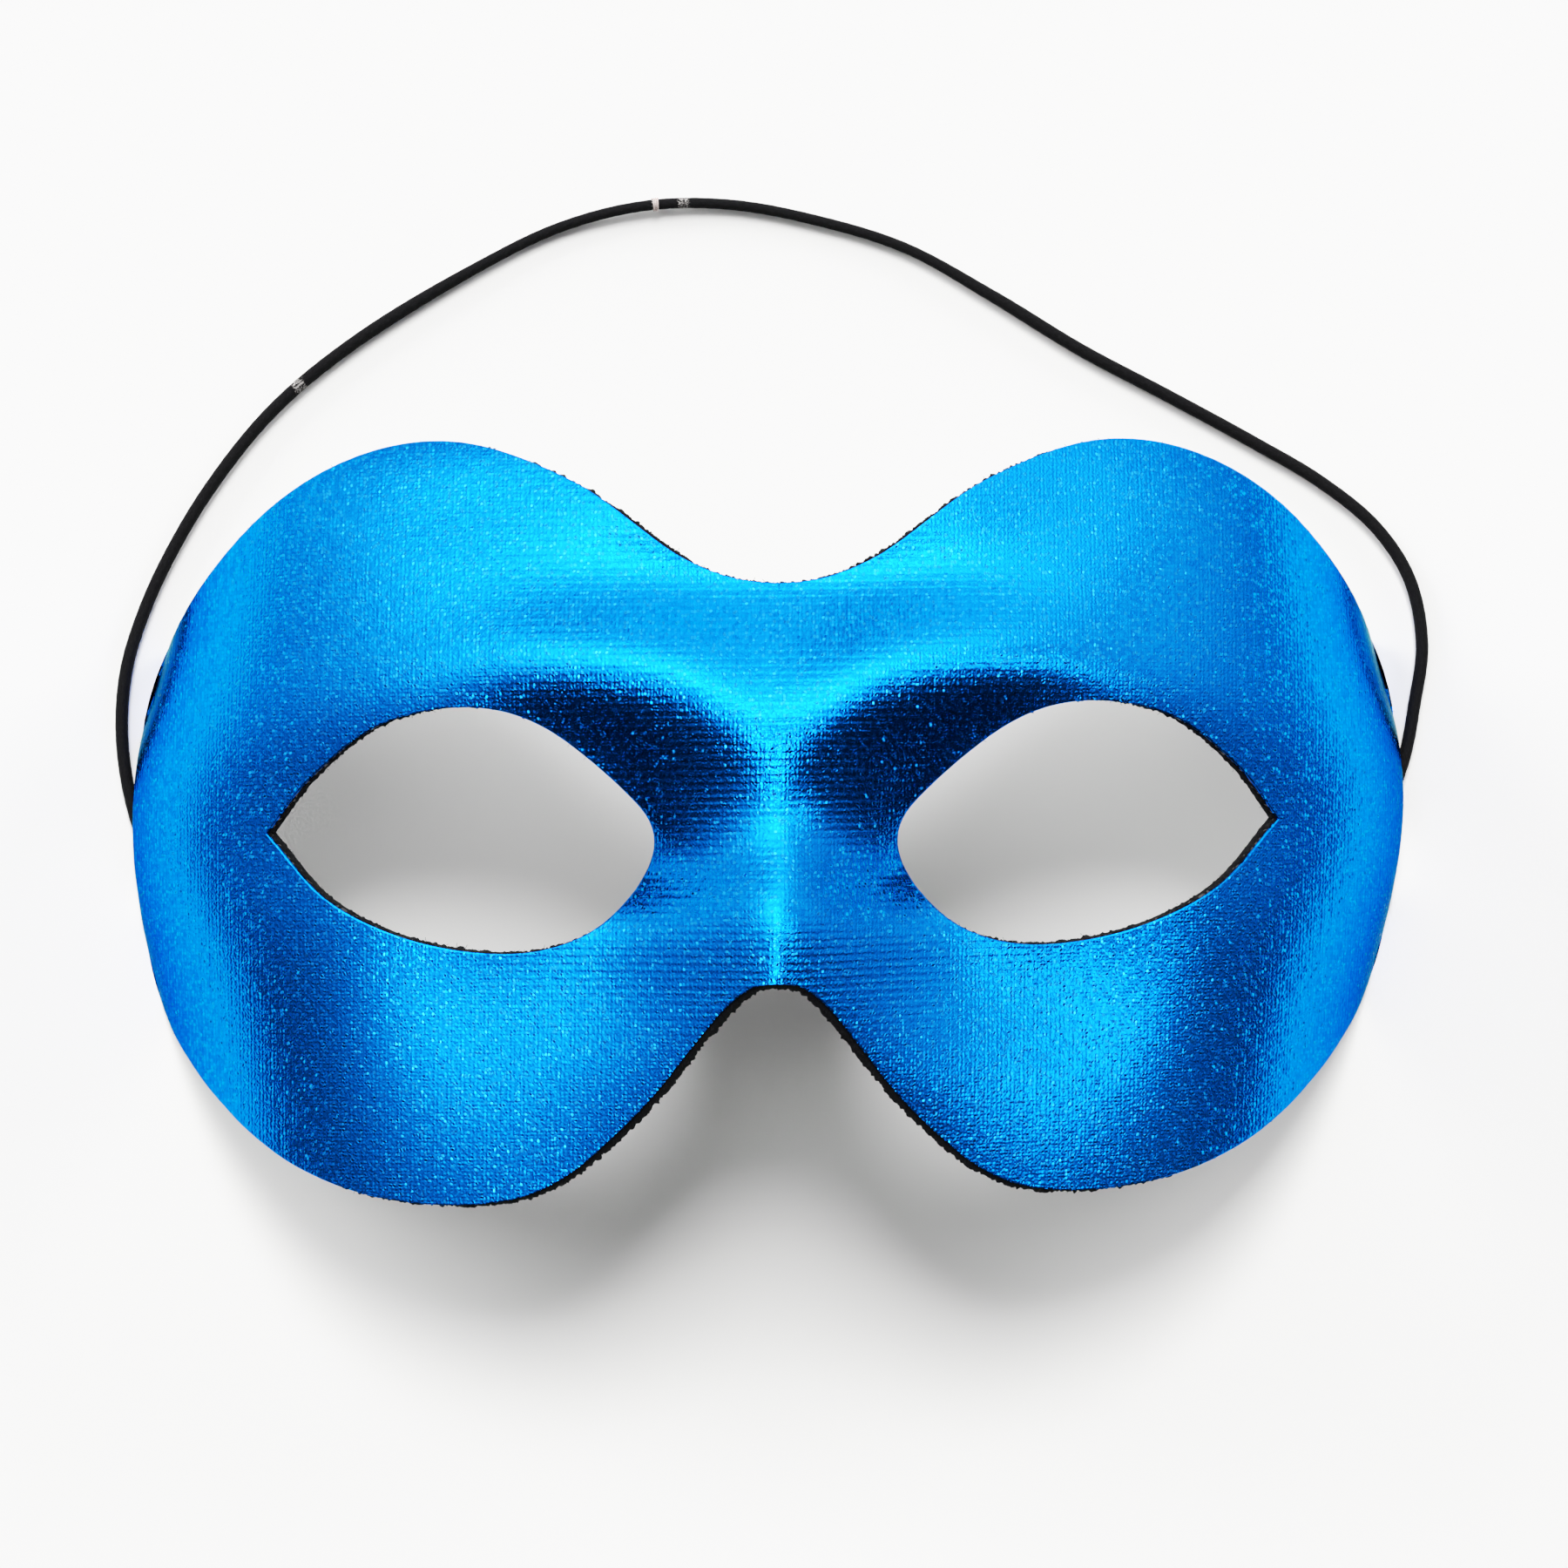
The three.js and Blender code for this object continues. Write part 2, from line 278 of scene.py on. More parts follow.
@dataclass(frozen=True)
class Swell:
    """A rise or a hollow pressed into the face and mirrored about its middle line.

    It is turned about its own middle, and it is eased into its mirror image over a short way, as cloth is.
    """

    height: float
    x: float
    y: float
    width: float
    length: float
    turn: float = 0.0
    ease: float = 0.001

    def at(self, x: Array, y: Array) -> Array:
        """Its height at points of the face.

        Args:
            x: Distances from the middle line.
            y: Places along the middle line.

        Returns:
            The heights.
        """
        x = x + self.ease * np.exp(-x / self.ease)
        across = (x - self.x) * math.cos(self.turn) + (y - self.y) * math.sin(self.turn)
        along = (y - self.y) * math.cos(self.turn) - (x - self.x) * math.sin(self.turn)
        return self.height * bump(across, self.width) * bump(along, self.length)


@dataclass(frozen=True)
class FaceForm:
    """The mask's form: its outline, its eye holes and the height of its front over the table."""

    half_width: float = 0.0874
    lean: float = 0.025
    taller_left: float = 0.014
    middle_of_length: float = 0.00043
    eye_middle: tuple[float, float] = (0.041, -0.0008)

    wrap_height: float = 0.0455
    wrap_half_width: float = 0.0895
    wrap_roundness: float = 2.45
    wrap_shoulder: float = 0.575
    brow_narrowing: float = 0.014
    cheek_narrowing: float = 0.0109
    narrowing_reach: float = 0.028
    brow_fall: float = 0.0137
    cheek_fall: float = 0.0008
    fall_reach: float = 0.053
    face_pitch: float = 0.086
    rim_drop: float = 0.0047

    nose_height: float = 0.0099
    nose_y: float = -0.0192
    nose_length: float = 0.0206
    nose_width: float = 0.0196
    nose_roundness: float = 3.25
    spread_width: float = 0.0039
    spread_y: float = -0.005
    spread_length: float = 0.022

    ridge_height: float = 0.00325
    ridge_y: float = 0.022
    ridge_width: float = 0.0081
    ridge_end: float = 0.052
    ridge_dip: float = 0.0088
    ridge_dip_width: float = 0.0125
    ridge_fall: float = 0.0075
    ridge_reach: float = 0.060

    nose_tip: Swell = Swell(0.0026, 0.0, -0.0085, 0.0089, 0.0072)
    nose_side: Swell = Swell(-0.0059, 0.0159, -0.0174, 0.0132, 0.0154)
    brow_valley: Swell = Swell(-0.0046, 0.0, 0.0316, 0.0297, 0.0074)
    brow_crown: Swell = Swell(-0.0016, 0.0368, 0.0411, 0.0155, 0.0073)
    under_eye: Swell = Swell(-0.0036, 0.0398, -0.0147, 0.0134, 0.020)
    outer_corner: Swell = Swell(-0.0015, 0.0676, -0.0008, 0.0151, 0.012)
    eye_socket: Swell = Swell(-0.0082, 0.0206, -0.0047, 0.0109, 0.006, turn=0.22, ease=0.004)
    eye_lid: Swell = Swell(-0.0028, 0.016, 0.0024, 0.020, 0.0065, turn=0.55, ease=0.004)
    inner_corner: Swell = Swell(0.0018, 0.0158, -0.0054, 0.006, 0.0066, ease=0.004)

    slope_step: float = 0.00005

    def half_outline(self) -> Array:
        """The right half's outline from the notch between the brows round to the top of the nose arch.

        Returns:
            Its points, seen from above.
        """
        half = np.array([
            (0, 30.8), (12, 33.8), (27, 44.3), (42.7, 49.9), (57.8, 47.5), (72.1, 38), (84.2, 22.1),
            (87.4, 2), (84.9, -19.6), (78.5, -31.9), (65.1, -43.5), (48.9, -48.8), (31.4, -47.8),
            (18.4, -38.1), (6.2, -23.3), (0, -20.6),
        ]) * MM
        mirrored = half[-2:0:-1] * (-1, 1)
        steps = 20
        line = smooth_line(np.vstack([half, mirrored]), closed=True, steps=steps)
        return line[: (len(half) - 1) * steps + 1]

    def eye_line(self) -> Array:
        """The right eye hole's edge, from its pointed outer corner over the top and back along the bottom."""
        knots = np.array([
            (67, -0.8), (61, 6.3), (51.6, 13), (40.2, 15.1), (30.3, 12.5), (19.9, 4.3), (15.9, -1.6),
            (17.9, -8.1), (24.4, -14.2), (33.9, -16.7), (46.5, -15.1), (58.4, -9.7), (67, -0.8),
        ]) * MM
        return smooth_line(knots, closed=False)

    def height(self, x: Array, y: Array) -> Array:
        """The front's height over the table.

        Args:
            x: Distances from the middle line.
            y: Places along the middle line.

        Returns:
            The heights.
        """
        brow = y > 0
        away = (y / self.narrowing_reach) ** 2
        narrowing = np.where(brow, self.brow_narrowing, self.cheek_narrowing) * away / (1 + away)
        fall = np.where(brow, self.brow_fall, self.cheek_fall) * (y / self.fall_reach) ** 4
        inside = 1 - (x / (self.wrap_half_width - narrowing)) ** self.wrap_roundness
        wall = np.sign(inside) * np.abs(inside) ** self.wrap_shoulder
        wrap = (self.wrap_height - fall) * wall + self.face_pitch * y - self.rim_drop
        nose_width = self.nose_width - self.spread_width * np.tanh((y - self.spread_y) / self.spread_length)
        nose = self.nose_height * bump(y - self.nose_y, self.nose_length)
        nose = nose * bump(x, nose_width, self.nose_roundness)
        ridge_line = self.ridge_y - self.ridge_dip * bump(x, self.ridge_dip_width)
        ridge_line = ridge_line - self.ridge_fall * (x / self.ridge_reach) ** 2
        ridge = self.ridge_height * bump(y - ridge_line, self.ridge_width) * bump(x, self.ridge_end, 4)
        swells = (
            self.nose_tip, self.nose_side, self.brow_valley, self.brow_crown, self.under_eye,
            self.outer_corner, self.eye_socket, self.eye_lid, self.inner_corner,
        )
        return wrap + nose + ridge + sum(swell.at(x, y) for swell in swells)

    def front(self, x: Array, y: Array) -> Array:
        """Points of the cloth's front.

        Args:
            x: Places across the face, to the mask's right.
            y: Places along the middle line.

        Returns:
            The points.
        """
        leaning = x + self.lean * y
        taller = y * (1 - self.taller_left * x / self.half_width)
        return np.stack([leaning, taller - self.middle_of_length, self.height(np.abs(x), y)], axis=-1)

    def outward(self, x: Array, y: Array) -> Array:
        """The front's outward direction.

        Args:
            x: Places across the face, to the mask's right.
            y: Places along the middle line.

        Returns:
            A direction of length 1 for each place.
        """
        step = self.slope_step
        along_x = self.front(x + step, y) - self.front(x - step, y)
        along_y = self.front(x, y + step) - self.front(x, y - step)
        return unit(np.cross(along_x, along_y))

    def layer(self, x: Array, y: Array, depth: Array | float) -> Array:
        """Points of the front moved back through the layers, and cut flat at the table.

        Args:
            x: Places across the face, to the mask's right.
            y: Places along the middle line.
            depth: Distances behind the cloth's front.

        Returns:
            The points.
        """
        points = self.front(x, y) - self.outward(x, y) * np.asarray(depth)[..., None]
        points[..., 2] = np.maximum(points[..., 2], 0)
        return points


FORM = FaceForm()


@dataclass(frozen=True)
class HalfGrid:
    """A mesh of columns round an eye hole and rings from the hole out to the outline or the middle line."""

    brow_columns: int = 96
    nose_columns: int = 36
    cheek_columns: int = 108
    rings: int = 34
    lip: tuple[float, ...] = (0.0, 0.00010, 0.00024, 0.00045, 0.0008)

    def on_middle(self) -> Array:
        """Whether each column ends on the middle line."""
        column = np.arange(self.brow_columns + self.nose_columns + self.cheek_columns)
        return (column >= self.brow_columns) & (column <= self.brow_columns + self.nose_columns)

    def ends(self) -> tuple[Array, Array]:
        """Where the columns start and end.

        Returns:
            Each column's point on the eye hole's edge, and its point on the outline or the middle line.
        """
        outline, eye_line = FORM.half_outline(), FORM.eye_line()
        middle = np.array(FORM.eye_middle)
        split = int(np.argmax((outline[:, 0] > middle[0]) & (outline[:, 1] < middle[1])))
        before, after = outline[split - 1], outline[split]
        temple = before + (after - before) * (before[1] - middle[1]) / (before[1] - after[1])
        brow = spread(np.vstack([temple, outline[:split][::-1]]), self.brow_columns)
        nose = spread(outline[[0, -1]], self.nose_columns)
        cheek = spread(np.vstack([outline[split:][::-1], temple]), self.cheek_columns)
        outer = np.vstack([brow, nose[1:], cheek[1:-1]])
        full_turn = 2 * math.pi
        turn = np.arctan2(*(outer - middle).T[::-1])
        turn = np.where(turn < -ROUNDING, turn + full_turn, np.maximum(turn, 0))
        turns = np.arctan2(*(eye_line - middle).T[::-1]) % full_turn
        turns[0], turns[-1] = 0, full_turn
        inner = np.stack([np.interp(turn, turns, eye_line[:, axis]) for axis in (0, 1)], axis=1)
        return inner, outer

    def places(self) -> Array:
        """The grid's flat points, closer together beside the cut edges.

        Returns:
            The points by column and ring.
        """
        inner, outer = self.ends()
        length = np.linalg.norm(outer - inner, axis=1)[:, None]
        near = np.array(self.lip)[None, :] / length
        between = np.linspace(0, 1, self.rings + 1)[None, 1:-1]
        last = near[:, -1:]
        middle = last + (1 - 2 * last) * between
        share = np.concatenate([near, middle, 1 - near[:, ::-1]], axis=1)[..., None]
        return inner[:, None] + (outer - inner)[:, None] * share


GRID = HalfGrid()


# Node trees and finishes


class NodeWork:
    """A node tree, put together a node at a time."""

    def __init__(self, tree: bpy.types.NodeTree) -> None:
        """Starts from an empty tree."""
        self.tree = tree
        self.tree.nodes.clear()

    def node(self, kind: str, inputs: Inputs | None = None, **settings: object) -> bpy.types.Node:
        """Adds a node.

        Args:
            kind: The node's Blender type.
            inputs: Values or other nodes' outputs, by input name or number.
            settings: The node's own settings.

        Returns:
            The node.
        """
        made = self.tree.nodes.new(kind)
        for name, value in settings.items():
            setattr(made, name, value)
        for name, value in (inputs or {}).items():
            if isinstance(value, Socket):
                self.tree.links.new(value, made.inputs[name])
            else:
                made.inputs[name].default_value = value
        return made

    def math(self, operation: str, *values: object) -> Socket:
        """A sum of numbers, as MULTIPLY_ADD or SINE."""
        return self.node("ShaderNodeMath", dict(enumerate(values)), operation=operation).outputs[0]

    def times(self, first: object, second: object) -> Socket:
        """One number times another."""
        return self.math("MULTIPLY", first, second)

    def wave(self, place: Socket, pitch: float) -> Socket:
        """A wave between -1 and 1 that repeats at a pitch."""
        return self.math("SINE", self.times(place, 2 * math.pi / pitch))

    def vector(self, operation: str, first: object, second: object) -> Socket:
        """A sum of two vectors, as ADD or DOT_PRODUCT.

        Args:
            operation: The sum's Blender name.
            first: The first vector.
            second: The second vector, or the number that SCALE takes.

        Returns:
            The result, which is a number where the sum is a dot product.
        """
        inputs = {0: first, "Scale" if operation == "SCALE" else 1: second}
        made = self.node("ShaderNodeVectorMath", inputs, operation=operation)
        return made.outputs["Value" if operation == "DOT_PRODUCT" else "Vector"]

    def from_middle(self, chance: Socket) -> Socket:
        """A random vector counted from the middle of its range."""
        return self.vector("SUBTRACT", chance, (0.5, 0.5, 0.5))

    def split(self, vector: Socket) -> list[Socket]:
        """A vector's three numbers."""
        return list(self.node("ShaderNodeSeparateXYZ", {"Vector": vector}).outputs)

    def mix(self, factor: object, first: object, second: object) -> Socket:
        """A blend of two colours."""
        return self.node("ShaderNodeMix", {0: factor, 6: first, 7: second}, data_type="RGBA").outputs[2]

    def smooth(self, value: object, low: float, high: float) -> Socket:
        """A smooth step from 0 at low to 1 at high."""
        inputs = {"Value": value, "From Min": low, "From Max": high, "To Min": 0.0, "To Max": 1.0}
        return self.node("ShaderNodeMapRange", inputs, interpolation_type="SMOOTHSTEP").outputs["Result"]

    def noise(self, where: Socket, scale: float, detail: float = 2.0, output: str = "Fac") -> Socket:
        """A cloudy noise with so many waves to the unit of its coordinates."""
        inputs = {"Vector": where, "Scale": scale, "Detail": detail}
        return self.node("ShaderNodeTexNoise", inputs).outputs[output]

    def between(self, share: Socket, low: float, high: float) -> Socket:
        """A number that runs from low to high as a share runs from 0 to 1."""
        return self.math("MULTIPLY_ADD", share, high - low, low)

    def strands(self, where: Socket, waves: tuple[float, float, float]) -> Socket:
        """A noise drawn out into strands, with so many waves to the unit along each axis."""
        return self.noise(self.vector("MULTIPLY", where, waves), scale=1.0, detail=3.0)


class Recipe(NodeWork):
    """A material's node tree, whose patterns and relief are measured in millimetres."""

    def __init__(self, name: str) -> None:
        """Starts an empty material.

        Args:
            name: The material's name.
        """
        self.material = bpy.data.materials.new(name)
        self.material.use_nodes = True
        super().__init__(self.material.node_tree)

    def flat_mm(self) -> Socket:
        """A place on the flat material, in millimetres."""
        flat = self.node("ShaderNodeUVMap", uv_map=FLAT_MAP).outputs["UV"]
        return self.vector("SCALE", flat, 1 / MM)

    def object_mm(self) -> Socket:
        """A place in the object, in millimetres."""
        return self.vector("SCALE", self.node("ShaderNodeTexCoord").outputs["Object"], 1 / MM)

    def finish(self, height: Socket | None = None, **inputs: object) -> bpy.types.Material:
        """Ends the tree in a Principled shader.

        Args:
            height: The relief, in millimetres.
            inputs: Values or outputs for the shader's inputs, with _ for a space in their names.

        Returns:
            The material.
        """
        values = {name.replace("_", " "): value for name, value in inputs.items()}
        if height is not None:
            relief = self.node("ShaderNodeBump", {"Height": height, "Strength": 1.0, "Distance": MM})
            values["Normal"] = relief.outputs["Normal"]
        shader = self.node("ShaderNodeBsdfPrincipled", values)
        self.node("ShaderNodeOutputMaterial", {"Surface": shader.outputs["BSDF"]})
        return self.material


@dataclass(frozen=True)
class FoilKnit:
    """Knit with a blue metal foil on it: ribs across the nose and brow, single stitches with a painted glint
    on some, and painted shade with cracks in the grooves.
    """

    colour: Colour = (0.0014, 0.185, 0.96, 1)
    deep: Colour = (0.0008, 0.130, 0.75, 1)
    # crack: the black knit under cracked foil, also used as painted shade in the grooves and between stitches
    crack_and_groove_shade: Colour = (0.0003, 0.030, 0.20, 1)
    # spark: a lighter colour for some stitches, a painted glint where they would catch the light
    painted_glint_colour: Colour = (0.014, 0.29, 1.0, 1)
    edge: Colour = (0.02, 0.30, 0.24, 1)
    roughness: tuple[float, float] = (0.19, 0.13)
    rib_pitch: float = 1.0
    rib_height: float = 0.024
    rib_half_width: float = 34.0
    rib_side_fade: float = 12.0
    rib_lowest: float = -26.0
    rib_low_fade: float = 6.0
    wale_pitch: float = 0.60
    wale_depth: float = 0.010
    stitch_width: float = 0.44
    stitch_length: float = 0.48
    stitch_disorder: float = 0.6
    stitch_fall: tuple[float, float] = (0.62, 0.30)
    stitch_height: float = 0.006
    stitch_tilt: tuple[float, float] = (0.09, 0.25)
    spark_rarity: float = 4.0
    painted_glint_shows: tuple[float, float] = (0.7, 1.0)
    painted_glint_share: float = 0.5
    groove_fall: tuple[float, float] = (-0.35, -0.95)
    crack_and_shade_waves: float = 2.6
    crack_and_shade_share: float = 0.22
    wander: float = 0.30
    wander_waves: float = 0.9

    def make(self) -> bpy.types.Material:
        """Builds the material.

        Returns:
            The material.
        """
        recipe = Recipe("foil_knit")
        flat = recipe.flat_mm()
        stray = recipe.from_middle(recipe.noise(flat, self.wander_waves, output="Color"))
        place = recipe.vector("ADD", flat, recipe.vector("SCALE", stray, self.wander))
        across, along, _ = recipe.split(place)
        wale, rib = recipe.wave(across, self.wale_pitch), recipe.wave(along, self.rib_pitch)
        outer, inner = self.rib_half_width + self.rib_side_fade, self.rib_half_width - self.rib_side_fade
        below, above = self.rib_lowest - self.rib_low_fade, self.rib_lowest + self.rib_low_fade
        ribbed = recipe.smooth(recipe.math("ABSOLUTE", across), outer, inner)
        ribbed = recipe.times(ribbed, recipe.smooth(along, below, above))

        scaled = recipe.vector("MULTIPLY", place, (1 / self.stitch_width, 1 / self.stitch_length, 1.0))
        grid = {"Vector": scaled, "Scale": 1.0, "Randomness": self.stitch_disorder}
        cells = recipe.node("ShaderNodeTexVoronoi", grid, voronoi_dimensions="2D").outputs
        depth_lot, _, spark_lot = recipe.split(cells["Color"])
        sparks = recipe.math("POWER", spark_lot, self.spark_rarity)
        crown = recipe.smooth(cells["Distance"], *self.stitch_fall)
        inside = recipe.vector("SUBTRACT", scaled, cells["Position"])
        lean = recipe.vector("DOT_PRODUCT", inside, recipe.from_middle(cells["Color"]))
        tilt = recipe.times(lean, recipe.between(sparks, *self.stitch_tilt))
        stitch = recipe.times(crown, recipe.math("ADD", tilt, self.stitch_height))
        height = recipe.math("MULTIPLY_ADD", recipe.times(rib, ribbed), self.rib_height / 2, stitch)
        height = recipe.math("MULTIPLY_ADD", wale, self.wale_depth / 2, height)

        # Painted shade with cracks: grooves between wales and ribs and gaps between stitches are darkened in
        # patches, partly for black knit under cracked foil and partly for the shade that falls in them.
        rib_groove = recipe.times(recipe.smooth(rib, *self.groove_fall), ribbed)
        groove = recipe.math("MAXIMUM", recipe.smooth(wale, *self.groove_fall), rib_groove)
        crack_and_shade_mask = recipe.math("MAXIMUM", groove, recipe.math("SUBTRACT", 1.0, crown))
        crack_and_shade_patches = recipe.times(recipe.noise(flat, self.crack_and_shade_waves), 2 * self.crack_and_shade_share)
        body = recipe.mix(depth_lot, self.colour, self.deep)
        body = recipe.mix(recipe.times(crack_and_shade_mask, crack_and_shade_patches), body, self.crack_and_groove_shade)
        # Painted glint: some stitch crowns are coloured lighter, as if they caught the light.
        painted_glint_mask = recipe.times(recipe.smooth(spark_lot, *self.painted_glint_shows), crown)
        colour = recipe.mix(recipe.times(painted_glint_mask, self.painted_glint_share), body, self.painted_glint_colour)
        return recipe.finish(
            height, Base_Color=colour, Metallic=1.0, Roughness=recipe.between(sparks, *self.roughness),
            Specular_Tint=self.edge,
        )


@dataclass(frozen=True)
class BlackFelt:
    """Thin black felt with a short fuzzy nap."""

    colour: Colour = (0.0016, 0.0017, 0.002, 1)
    lint: Colour = (0.010, 0.010, 0.011, 1)
    tuft_size: float = 0.5
    tuft_height: float = 0.12
    strand_waves: tuple[float, float, float] = (5.0, 1.4, 1.4)
    lint_shows: tuple[float, float] = (0.55, 0.8)
    roughness: tuple[float, float] = (0.88, 0.98)
    sheen: float = 0.01
    gloss: float = 0.04

    def make(self) -> bpy.types.Material:
        """Builds the material.

        Returns:
            The material.
        """
        recipe = Recipe("black_felt")
        place = recipe.object_mm()
        tufts = recipe.noise(place, 1 / self.tuft_size, detail=5.0)
        strands = recipe.strands(place, self.strand_waves)
        colour = recipe.mix(recipe.smooth(strands, *self.lint_shows), self.colour, self.lint)
        height = recipe.times(recipe.math("ADD", tufts, strands), self.tuft_height)
        return recipe.finish(
            height, Base_Color=colour, Roughness=recipe.between(tufts, *self.roughness),
            Sheen_Weight=self.sheen, Specular_IOR_Level=self.gloss,
        )


@dataclass(frozen=True)
class BlackPlastic:
    """Formed black plastic sheet, faintly pebbled."""

    colour: Colour = (0.006, 0.006, 0.0066, 1)
    pebble_size: float = 0.7
    pebble_height: float = 0.02
    roughness: tuple[float, float] = (0.35, 0.55)

    def make(self) -> bpy.types.Material:
        """Builds the material.

        Returns:
            The material.
        """
        recipe = Recipe("black_plastic")
        pebbles = recipe.noise(recipe.object_mm(), 1 / self.pebble_size, detail=3.0)
        height = recipe.times(pebbles, self.pebble_height)
        rough = recipe.between(pebbles, *self.roughness)
        return recipe.finish(height, Base_Color=self.colour, Roughness=rough)


@dataclass(frozen=True)
class BraidedElastic:
    """Black yarn braided over rubber, with pale worn places."""

    colour: Colour = (0.001, 0.001, 0.0012, 1)
    light_fibre: Colour = (0.005, 0.005, 0.0055, 1)
    worn: Colour = (0.20, 0.19, 0.185, 1)
    fibre_waves: tuple[float, float, float] = (2.2, 9.0, 1.0)
    fibre_height: float = 0.03
    fibre_shows: tuple[float, float] = (0.45, 0.75)
    wear_waves: tuple[float, float, float] = (3.0, 3.6, 1.0)
    wear_shows: tuple[float, float] = (0.42, 0.62)
    roughness: float = 0.72
    sheen: float = 0.005
    gloss: float = 0.04

    def make(self) -> bpy.types.Material:
        """Builds the material.

        Returns:
            The material.
        """
        recipe = Recipe("braided_elastic")
        flat = recipe.flat_mm()
        fibres = recipe.strands(flat, self.fibre_waves)
        body = recipe.mix(recipe.smooth(fibres, *self.fibre_shows), self.colour, self.light_fibre)
        wear = recipe.node("ShaderNodeAttribute", attribute_name=WEAR).outputs["Fac"]
        patchy = recipe.math("ADD", recipe.math("SUBTRACT", wear, 1.0), recipe.strands(flat, self.wear_waves))
        colour = recipe.mix(recipe.smooth(patchy, *self.wear_shows), body, self.worn)
        return recipe.finish(
            recipe.times(fibres, self.fibre_height), Base_Color=colour, Roughness=self.roughness,
            Sheen_Weight=self.sheen, Specular_IOR_Level=self.gloss,
        )


@dataclass(frozen=True)
class PaleThread:
    """Undyed sewing thread."""

    colour: Colour = (0.42, 0.35, 0.33, 1)
    shade: Colour = (0.25, 0.195, 0.18, 1)
    fibre_waves: float = 7.0
    fibre_height: float = 0.02
    fibre_shows: tuple[float, float] = (0.35, 0.65)
    roughness: float = 0.8

    def make(self) -> bpy.types.Material:
        """Builds the material.

        Returns:
            The material.
        """
        recipe = Recipe("pale_thread")
        fibres = recipe.noise(recipe.object_mm(), self.fibre_waves, detail=3.0)
        height = recipe.times(fibres, self.fibre_height)
        colour = recipe.mix(recipe.smooth(fibres, *self.fibre_shows), self.shade, self.colour)
        return recipe.finish(height, Base_Color=colour, Roughness=self.roughness)


@dataclass(frozen=True)
class WhiteTable:
    """A plain white table top."""

    colour: Colour = (0.80, 0.797, 0.785, 1)
    cloud_waves: float = 0.01
    roughness: tuple[float, float] = (0.8, 0.9)
    gloss: float = 0.2

    def make(self) -> bpy.types.Material:
        """Builds the material.

        Returns:
            The material.
        """
        recipe = Recipe("white_table")
        cloudy = recipe.noise(recipe.object_mm(), self.cloud_waves, detail=1.0)
        rough = recipe.between(cloudy, *self.roughness)
        return recipe.finish(Base_Color=self.colour, Roughness=rough, Specular_IOR_Level=self.gloss)


# The laminate


